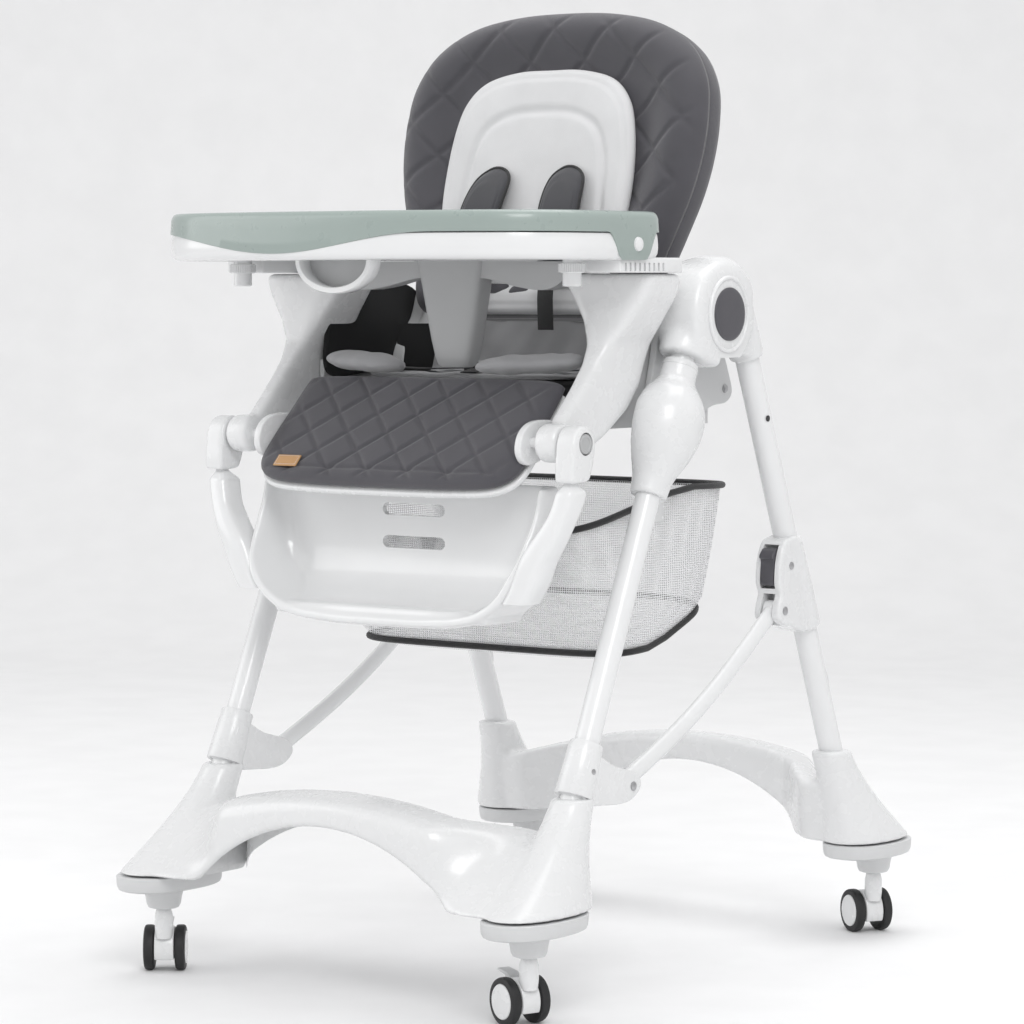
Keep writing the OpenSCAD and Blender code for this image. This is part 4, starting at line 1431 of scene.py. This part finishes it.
def tray_top(mat):
    """Sage insert: wavy skirt, rounded edge, sunken play surface with a cup well."""
    o = tray_outline()
    edge = [wave(p[0], p[1]) for p in o]
    skirt = []
    for e in (0.0, 0.03, 0.35, 0.7, 1.0):
        d = inward(o, -0.2 if e == 0.0 else -0.9 + 0.9 * e)
        skirt.append([(p[0], p[1], edge[k] + (860 - edge[k]) * e) for k, p in enumerate(d)])
    crown = [[(p[0], p[1], z) for p in inward(o, d)] for d, z in (
        (1.2, 863.5), (3.0, 866.2), (5.6, 867.6), (9.0, 867.9), (13, 867.4), (16.5, 865.4),
        (19, 861.5), (21, 858.2), (24, 856.4), (29, 855.8))]
    floor = inward(o, 29)
    c = np.array((0.0, -285.0))
    flat = [[(q[0], q[1], 855.7 - 0.3 * (1 - f)) for q in c + (floor - c) * f]
            for f in (0.8, 0.5, 0.2, 0.02)]
    under = [[(p[0], p[1], edge[k] if d < 0.5 else 848.5) for k, p in enumerate(inward(o, d))]
             for d in (0.4, 6.0)]
    low = [[(q[0], q[1], 848.6) for q in c + (inward(o, 6.0) - c) * f] for f in (0.5, 0.03)]
    rings = low[::-1] + under[::-1] + skirt + crown + flat
    ob = outward(build("insert", *loft(rings), mat))
    well = lathe("well", (205, -290, 851.5), (0, 0, 1), [(0, 30), (1.2, 34), (3, 36), (14, 37.5)], mat, 64)
    ob = cut_by(ob, [well])
    ob.name = "tray_insert_piece"
    return ob


def tray_under(mat):
    """Cross bar with a wavy lower edge and the tapering crotch post."""
    bar_half = [(0, 797), (50, 795), (92, 786), (128, 782), (150, 788), (164, 799), (186, 802),
                (206, 803), (207, 813.5)]
    outline = [(x, z) for x, z in bar_half] + [(-x, z) for x, z in bar_half[::-1]]
    cross = plate("cross", [tuple(p) for p in spline(outline, 3)], -151, -127, "y", mat, 2.5)
    rings = []
    for z, w, y0, y1 in ((815, 45, -163, -122), (800, 44, -161, -121), (784, 41.5, -159, -120),
                         (755, 36, -157, -121), (725, 30, -155, -122), (706, 25.5, -153, -123),
                         (697, 22, -151, -125), (694, 17, -148, -128)):
        cy, hy = 0.5 * (y0 + y1), 0.5 * (y1 - y0)
        ring = []
        for k in range(64):
            a = 2 * math.pi * k / 64
            ca, sa = math.cos(a), math.sin(a)
            ring.append((w * blunt(ca, 0.5), cy + hy * blunt(sa, 0.5), z))
        rings.append(ring)
    post = outward(build("post", *loft(rings), mat))
    return join("tray_bar_piece", [cross, post])


def tray_grip(mat, dark):
    """U-shaped release handle, grey inside."""
    path = []
    for i in range(41):
        a = math.pi + math.pi * i / 40
        path.append((50 * math.cos(a), -353, 815 + 33 * math.sin(a)))
    rings = []
    for i, p in enumerate(path):
        t = np.array(path[min(i + 1, 40)]) - np.array(path[max(i - 1, 0)])
        t /= np.linalg.norm(t)
        n = np.array((t[2], 0, -t[0]))
        rings.append([np.array(p) + n * a + np.array((0, b, 0)) for a, b in (
            (-3.6, -8), (-2.6, -9.5), (2.6, -9.5), (3.6, -8), (3.6, 8), (2.6, 9.5), (-2.6, 9.5),
            (-3.6, 8))])
    loop = outward(build("grip", *loft(rings), mat))
    inner = [(p[0] * 0.93, 815 - (815 - p[2]) * 0.9) for p in path]
    back = plate("back", inner + [(46, 818), (-46, 818)], -345.0, -342.5, "y", dark)
    return join("tray_grip_piece", [loop, back])


# ---------- stage ----------

def studio(floor_mat):
    """Pale floor that curves up behind the chair."""
    size = 9.0
    verts, faces = [], []
    profile = [(-size, 0.0)] + [(3.2 + 1.6 * math.sin(a), 1.6 - 1.6 * math.cos(a))
                                for a in np.linspace(0, math.pi / 2, 16)] + [(4.8, 7.0)]
    d = np.array((-math.sin(math.radians(36.6)), math.cos(math.radians(36.6))))
    side = np.array((d[1], -d[0]))
    for f, z in profile:
        for s in (-size, size):
            p = d * f + side * s
            verts.append((p[0] / MM, p[1] / MM, z / MM))
    for i in range(len(profile) - 1):
        a = 2 * i
        faces.append((a, a + 1, a + 3, a + 2))
    ob = build("studio_floor", verts, faces, floor_mat)
    return ob


def open_behind(mat):
    """Lets a camera that stands behind the backdrop look through it."""
    tree = mat.node_tree
    seen = tree.nodes.new("ShaderNodeMath")
    seen.operation = "MULTIPLY"
    tree.links.new(tree.nodes.new("ShaderNodeNewGeometry").outputs["Backfacing"], seen.inputs[0])
    tree.links.new(tree.nodes.new("ShaderNodeLightPath").outputs["Is Camera Ray"], seen.inputs[1])
    mix = tree.nodes.new("ShaderNodeMixShader")
    tree.links.new(seen.outputs[0], mix.inputs[0])
    tree.links.new(tree.nodes["Principled BSDF"].outputs[0], mix.inputs[1])
    tree.links.new(tree.nodes.new("ShaderNodeBsdfTransparent").outputs[0], mix.inputs[2])
    tree.links.new(mix.outputs[0], tree.nodes["Material Output"].inputs["Surface"])


def lamp(name, place_, aim, power, size):
    """Soft square lamp aimed at a point."""
    data = bpy.data.lights.new(name, "AREA")
    data.energy = power
    data.size = size
    ob = bpy.data.objects.new(name, data)
    ob.location = place_
    ob.rotation_euler = (Vector(aim) - Vector(place_)).to_track_quat("-Z", "Y").to_euler()
    bpy.context.scene.collection.objects.link(ob)
    return ob


# ---------- settings ----------

class HighchairFrame(bpy.types.PropertyGroup):
    """Sizes of the frame."""
    tube_radius: FloatProperty(name="Tube radius", description="Outside radius of the leg tubes",
                               default=0.014, min=0.012, max=0.0142, unit="LENGTH", subtype="DISTANCE")


class HighchairWheels(bpy.types.PropertyGroup):
    """Sizes of the casters."""
    trail: FloatProperty(name="Trail", description="Distance from swivel axis to axle",
                         default=0.018, min=0.015, max=0.02, unit="LENGTH", subtype="DISTANCE")
    wheel: FloatProperty(name="Axle height", description="Height of the axle above the floor",
                         default=0.026, min=0.025, max=0.027, unit="LENGTH", subtype="DISTANCE")


class HighchairStage(bpy.types.PropertyGroup):
    """Camera and light."""
    lens: FloatProperty(name="Lens", description="Focal length of the camera", default=130.08,
                        min=20.0, max=300.0, unit="CAMERA")
    power: FloatProperty(name="Key light", description="Power of the key light", default=62.0,
                         min=0.0, max=2000.0, unit="POWER")


# ---------- operators ----------

class GroupOperator:
    """Shared steps of the operators that build a group."""
    bl_options = {"REGISTER", "UNDO"}

    def execute(self, context):
        if not MATS:
            make_materials()
        self.make(context.scene)
        return {"FINISHED"}


class HIGHCHAIR_OT_front_frame(GroupOperator, bpy.types.Operator):
    """Front base, caps, tubes, collars and hub housings"""
    bl_idname = "highchair.front_frame"
    bl_label = "Front frame"

    def make(self, scene):
        white, tube = MATS["white"], MATS["tube"]
        radius = scene.highchair_frame.tube_radius / MM
        ny, nz = front_leg(234)
        place(base_shell("front_base_piece", 1, nz, ny, (-414, -262), white), "front_frame", "front_base")
        place(foot_cap("front_cap_piece", 1, (-414, -272), MATS["pale"]), "front_frame",
              "front_foot_caps")
        place(leg_tube("front_tube_pieces", front_leg, 156, 727, radius, tube), "front_frame",
              "front_leg_tubes")
        place(lower_collar(white), "front_frame", "front_collars")
        place(hub_housing(white), "front_frame", "hub_housings")
        place(hub_cap(MATS["dark"]), "front_frame", "hub_caps")
        heads = []
        for s in (-1, 1):
            heads += [screw(s * 267.4, *LINK_P, s, MATS["steel"], 5.0),
                      screw(s * 268.4, -248.5, 262, s, MATS["steel"], 4.0),
                      bar("pin", (s * 222.3, *HUB), (s * 277.7, *HUB), 7.0, MATS["steel"], 32)]
        place(join("front_frame_screws", heads), "front_frame", "frame_pins")


class HIGHCHAIR_OT_rear_frame(GroupOperator, bpy.types.Operator):
    """Rear base, caps, tubes, sockets, stops, fold sleeves, latches and links"""
    bl_idname = "highchair.rear_frame"
    bl_label = "Rear frame"

    def make(self, scene):
        white, tube, steel = MATS["white"], MATS["tube"], MATS["steel"]
        radius = scene.highchair_frame.tube_radius / MM
        ny, nz = rear_leg(232)
        place(base_shell("rear_base_piece", -1, nz, -ny, (-404, -266), white), "rear_frame", "rear_base")
        place(foot_cap("rear_cap_piece", -1, (-404, -273), MATS["pale"]), "rear_frame",
              "rear_foot_caps")
        place(leg_tube("rear_tube_pieces", rear_leg, 156, 744, radius, tube), "rear_frame",
              "rear_leg_tubes")
        place(rear_socket(white), "rear_frame", "rear_knuckles")
        stops = []
        for s in (-1, 1):
            y, z = rear_leg(314)
            o = np.array((s * LEG_X, y, z)) + np.cross((1, 0, 0), REAR_UP) * -9.0
            back = -np.cross((1.0, 0, 0), REAR_UP)
            rings = []
            for h, e in ((0, 0.0), (5, 0.2), (9, 1.4), (11.5, 4.5)):
                rings.append([o + back * h + np.array((1.0, 0, 0)) * ((6.5 - e * 0.7) * c)
                              + REAR_UP * ((17.0 - e) * blunt(sn, 0.8))
                              for c, sn in circle(36, 1.0)])
            stops.append(outward(build("stop", *loft(rings), MATS["pale"])))
        place(join("stop_button_pieces", stops), "rear_frame", "stop_buttons")
        heads = []
        for s in (-1, 1):
            y, z = rear_leg(219)
            heads.append(screw(s * 266.0, y + 1.0, z, s, steel, 3.4))
            y, z = rear_leg(634)
            # a flat black disc painted as the shade inside a hole in the rear tube
            heads.append(lathe("hole", (s * 263.3, y - 4, z), (s, 0, 0), [(0, 3.6), (1.0, 3.6)],
                               MATS["black"], 24))
        place(join("rear_frame_screws", heads), "rear_frame", "rear_screws")
        for key, s in SIDES:
            ob = fold_sleeve(s, "sleeve_" + key, white)
            heads = [screw(s * 267.2, LINK_Q[0], LINK_Q[1], s, steel, 5.2),
                     screw(s * 267.2, 152, 461, s, steel, 4.6)]
            place(join("fold_sleeve_pieces_" + key, [ob] + heads), "sleeve_" + key,
                  "fold_sleeve_" + key)
            place(latch_piece(s, "fold_latch_piece_" + key, MATS["dark"]), "latch_" + key,
                  "fold_latch_" + key)
            place(link_piece(s, "fold_link_piece_" + key, tube), "link_" + key, "fold_link_" + key)


class HIGHCHAIR_OT_casters(GroupOperator, bpy.types.Operator):
    """Four swivelling twin-wheel casters, two with brake levers"""
    bl_idname = "highchair.casters"
    bl_label = "Casters"

    def make(self, scene):
        p = scene.highchair_wheels
        trail, wheel = p.trail / MM, p.wheel / MM
        for key in CASTERS:
            place(caster_fork(key, trail, wheel, MATS["white"]), "caster_" + key, "caster_fork_" + key)
            place(caster_wheels(key, trail, wheel, MATS["white"], MATS["tyre"]), "wheels_" + key,
                  "caster_wheels_" + key)
        for key, corner in (("l", "fl"), ("r", "fr")):
            place(brake_piece(corner, "brake_piece_" + key, trail, MATS["pale"]), "brake_" + key,
                  "brake_lever_" + key)


class HIGHCHAIR_OT_seat(GroupOperator, bpy.types.Operator):
    """Carriages, armrests, brackets, tub, cushions, side wings, harness and buckle"""
    bl_idname = "highchair.seat"
    bl_label = "Seat"

    def make(self, scene):
        white = MATS["white"]
        place(carriage(white), "seat", "carriages")
        place(armrest(white), "seat", "side_panels")
        place(brackets(MATS["pale"], MATS["steel"]), "seat", "recline_brackets")
        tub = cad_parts["seat_shell"].data.materials
        tub.clear()
        tub.append(MATS["pale"])
        quilt = diamonds(60.0, 60.0, 2.0, 4.5)
        # the seat cushion is dressed in the near-black painted-shade cloth
        seat = creased("seat_cushion_piece", (-186, -136, 635.5), (186, -20, 680), MATS["night"], 0.2,
                       lambda u, v, f, s: quilt(u, v) * (f < 0.85) if s > 0 else 0.0)
        # near-black sheet of painted shade filling the gap between the seat and the backrest, where the
        # seat's inside lies in shadow
        apron = drape("apron", [(-22, 668), (-17, 700), (-12, 722), (-7, 741)], 187.0, 5.0,
                      MATS["night"])
        place(join("seat_cushion_pieces", [seat, apron]), "seat", "seat_cushion")
        wavy = lambda u, v, f, s: (0.9 * math.sin(u * 0.11 + v * 0.05) + 0.7 * math.sin(u * 0.05 - v * 0.13)
                                   ) * (f < 0.9) if s > 0 else 0.0
        # the seat liner and thigh rolls use the darker liner copy, painted shade on the white liner cloth
        liner = [creased("liner_flat", (-150, -132, 681), (150, -34, 686.5), MATS["roll"], 0.12, wavy)]
        liner.append(drape("liner_rise", [(-62, 685), (-38, 688), (-29, 700), (-23, 722),
                                          (-18, 745)], 118.0, 4.0, MATS["roll"], 1.3))
        for s in (-1, 1):
            liner += thigh_roll(s, MATS["roll"])
        place(join("seat_liner_pieces", liner), "seat", "seat_liner")
        # the side wings are in the near-black painted-shade cloth, standing for the seat's shaded inside
        wings = []
        for s in (-1, 1):
            lo, hi = sorted((s * 189.0, s * 196.4))
            wing = spline([(-136, 684), (-60, 684), (30, 688), (44, 730), (34, 776), (-20, 793),
                           (-120, 793), (-138, 740)], 6)
            wings.append(plate("wing", [tuple(q) for q in wing], lo, hi, "x", MATS["night"], 2.4, 3))
        place(join("side_wing_pieces", wings), "seat", "side_wings")
        straps = []
        for s in (-1, 1):
            straps.append(ribbon("waist", [(s * 172, -70, 689), (s * 150, -80, 691.5),
                                           (s * 90, -84, 690), (s * 26, -83, 692)], 23, 1.6,
                                 (0, 1, 0), MATS["piping"]))
        straps.append(ribbon("crotch", [(0, -118, 687.5), (0, -104, 690), (0, -94, 692)], 23, 1.6,
                             (1, 0, 0), MATS["piping"]))
        place(join("harness_pieces", straps), "seat", "harness_straps")
        block = box("buckle_block", (-23, -98, 688.2), (23, -67, 699), MATS["black"], 2.5)
        well = box("well", (-9.6, -92, 693), (9.6, -73, 702), MATS["black"])
        place(cut_by(block, [well]), "seat", "buckle")
        place(box("buckle_press_piece", (-9, -91.5, 696), (9, -73.5, 700.5), MATS["grey"], 1.4),
              "buckle_press", "buckle_button")


class HIGHCHAIR_OT_basket(GroupOperator, bpy.types.Operator):
    """Mesh storage basket with black binding and its hangers"""
    bl_idname = "highchair.basket"
    bl_label = "Basket"

    def make(self, scene):
        place(basket_net(MATS["net"]), "seat", "basket_mesh")
        place(basket_binding(MATS["piping"]), "seat", "basket_tape")
        place(hangers(MATS["white"]), "seat", "basket_hangers")


class HIGHCHAIR_OT_backrest(GroupOperator, bpy.types.Operator):
    """Backrest shell, quilted cover, liner, shoulder pads, straps and recline handle"""
    bl_idname = "highchair.backrest"
    bl_label = "Backrest"

    def make(self, scene):
        quilt, piping = MATS["quilt"], MATS["piping"]
        shell_out = spline([(x * 0.955, 60 + (v - 60) * 0.965) for x, v in both(BACK_HALF)], 8)
        shell = pad("shell", shell_out, lambda u, v, h: on_back(u, 21 - h, v), 8.0, 16.0, MATS["pale"],
                    60, 0.1, None, 2.4, 300)
        legs = []
        for s in (-1, 1):
            lo, hi = sorted((s * 172, s * 189))
            foot_ = spline([on_back(0, y, z)[1:] for y, z in (
                (-10, -12), (10, -15), (30, -8), (34, 20), (34, 90), (16, 96), (10, 60), (-12, 20))], 5)
            legs.append(plate("leg", [tuple(q) for q in foot_], lo, hi, "x", MATS["pale"], 2.0))
        place(join("back_shell_pieces", [shell] + legs), "backrest", "back_shell")
        place(back_cover(quilt), "backrest", "back_cover")
        place(join("back_boxing_pieces", back_boxing(quilt, piping)), "backrest")
        place(back_liner(MATS["liner"]), "backrest", "back_liner")
        pads = []
        for s in (-1, 1):
            pads += shoulder_pad(s, MATS["padding"], piping)
        place(join("shoulder_pad_pieces", pads), "backrest", "shoulder_pads")
        straps = [ribbon("strap", [on_back(s * 52, -52, 100), on_back(s * 56, -54, 70),
                                   on_back(s * 60, -50, 34)], 22, 1.6, (1, 0, 0), piping)
                  for s in (-1, 1)]
        place(join("shoulder_strap_pieces", straps), "backrest", "shoulder_straps")
        ring = []
        for i in range(64):
            c, s = circle(64, 1.0)[i]
            ring.append(on_back(52 * blunt(c, 0.4), 39,
                                323 + 17 * blunt(s, 0.4)))
        place(loop_pipe("recline_grip_piece", ring, 4.6, MATS["grey"], 12), "recline_grip",
              "recline_handle")


class HIGHCHAIR_OT_legrest(GroupOperator, bpy.types.Operator):
    """Legrest knuckles, calf board, cushion and tag, buttons and footrest"""
    bl_idname = "highchair.legrest"
    bl_label = "Legrest"

    def make(self, scene):
        white = MATS["white"]
        place(knuckle(white), "legrest", "legrest_knuckles")
        place(calf_plate(white), "legrest", "calf_board")
        place(calf_cushion(MATS["quilt"]), "legrest", "calf_pad")
        place(leather_tag(MATS["tan"], MATS["liner"]), "legrest")
        for key, s in SIDES:
            ob = lathe("legrest_press_piece_" + key, (s * 257.9, *LEG_HUB), (s, 0, 0),
                       [(0, 11.0), (3.4, 11.0), (4.6, 10.2), (4.7, 7.5), (4.0, 6.8), (4.0, 0.01)],
                       MATS["grey"], 48)
            place(ob, "leg_button_" + key, "legrest_button_" + key)
        place(footrest_shell(MATS["shell"]), "foot_shelf", "footrest")


class HIGHCHAIR_OT_tray(GroupOperator, bpy.types.Operator):
    """Tray rim, sage insert, cross bar, release handle and side buttons"""
    bl_idname = "highchair.tray"
    bl_label = "Tray"

    def make(self, scene):
        place(tray_rim(MATS["shell"]), "tray", "tray_base")
        place(tray_top(MATS["sage"]), "tray_top", "tray_insert")
        place(tray_under(MATS["grey"]), "tray", "tray_bar")
        place(tray_grip(MATS["shell"], MATS["grey"]), "tray_grip", "tray_handle")
        for key, s in SIDES:
            ob = lathe("tray_press_piece_" + key, (s * 281.0, -189, 832), (s, 0, 0),
                       [(0, 8.0), (4.8, 8.0), (6.6, 7.2), (7.4, 4.8), (7.7, 0.01)], MATS["white"], 48)
            place(ob, "side_button_" + key, "tray_button_" + key)


class HIGHCHAIR_OT_stage(GroupOperator, bpy.types.Operator):
    """Floor, lamps and camera"""
    bl_idname = "highchair.stage"
    bl_label = "Stage"

    def make(self, scene):
        p = scene.highchair_stage
        floor = plastic("studio_white", (0.86, 0.86, 0.865), 0.8, grain=0.0).mat
        open_behind(floor)
        studio(floor)
        lamp("key", (2.6, -2.6, 3.2), (0, 0, 0.6), p.power, 1.8)
        lamp("fill", (-3.2, -2.2, 1.9), (0, 0, 0.6), p.power * 0.5, 2.6)
        lamp("top", (0.2, 0.6, 3.6), (0, 0, 0.5), p.power * 0.7, 2.4)
        world = bpy.data.worlds.new("studio_world")
        world.use_nodes = True
        back = world.node_tree.nodes["Background"]
        back.inputs["Color"].default_value = (1.0, 1.0, 1.0, 1.0)
        back.inputs["Strength"].default_value = 0.75
        scene.world = world
        scene.view_settings.view_transform = "Standard"
        data = bpy.data.cameras.new("camera")
        data.lens = p.lens
        data.sensor_width = 36.0
        cam = bpy.data.objects.new("camera", data)
        cam.location = (2.5691, -3.4930, 0.7942)
        aim = Vector((-0.0462, 0.0285, 0.5182))
        cam.rotation_euler = (aim - cam.location).to_track_quat("-Z", "Y").to_euler()
        scene.collection.objects.link(cam)
        scene.camera = cam


class HIGHCHAIR_PT_panel(bpy.types.Panel):
    """Sidebar panel"""
    bl_idname = "HIGHCHAIR_PT_panel"
    bl_label = "High chair"
    bl_space_type = "VIEW_3D"
    bl_region_type = "UI"
    bl_category = "High chair"

    def draw(self, context):
        for group in (context.scene.highchair_frame, context.scene.highchair_wheels,
                      context.scene.highchair_stage):
            col = self.layout.column()
            for key in group.__annotations__:
                col.prop(group, key)
        for cls in STEPS:
            self.layout.operator(cls.bl_idname)


STEPS = (HIGHCHAIR_OT_front_frame, HIGHCHAIR_OT_rear_frame, HIGHCHAIR_OT_casters,
         HIGHCHAIR_OT_seat, HIGHCHAIR_OT_basket, HIGHCHAIR_OT_backrest, HIGHCHAIR_OT_legrest,
         HIGHCHAIR_OT_tray, HIGHCHAIR_OT_stage)
CLASSES = (HighchairFrame, HighchairWheels, HighchairStage) + STEPS + (HIGHCHAIR_PT_panel,)


def register():
    """Adds the classes and their settings."""
    for cls in CLASSES:
        bpy.utils.register_class(cls)
    bpy.types.Scene.highchair_frame = PointerProperty(type=HighchairFrame)
    bpy.types.Scene.highchair_wheels = PointerProperty(type=HighchairWheels)
    bpy.types.Scene.highchair_stage = PointerProperty(type=HighchairStage)


def unregister():
    """Takes the classes and settings away again."""
    for key in ("highchair_frame", "highchair_wheels", "highchair_stage"):
        delattr(bpy.types.Scene, key)
    for cls in reversed(CLASSES):
        bpy.utils.unregister_class(cls)


def main():
    """Builds every group in order."""
    register()
    for cls in STEPS:
        group, step = cls.bl_idname.split(".")
        if getattr(getattr(bpy.ops, group), step)() != {"FINISHED"}:
            raise RuntimeError(cls.bl_idname + " did not finish")


if __name__ == "__main__":
    main()
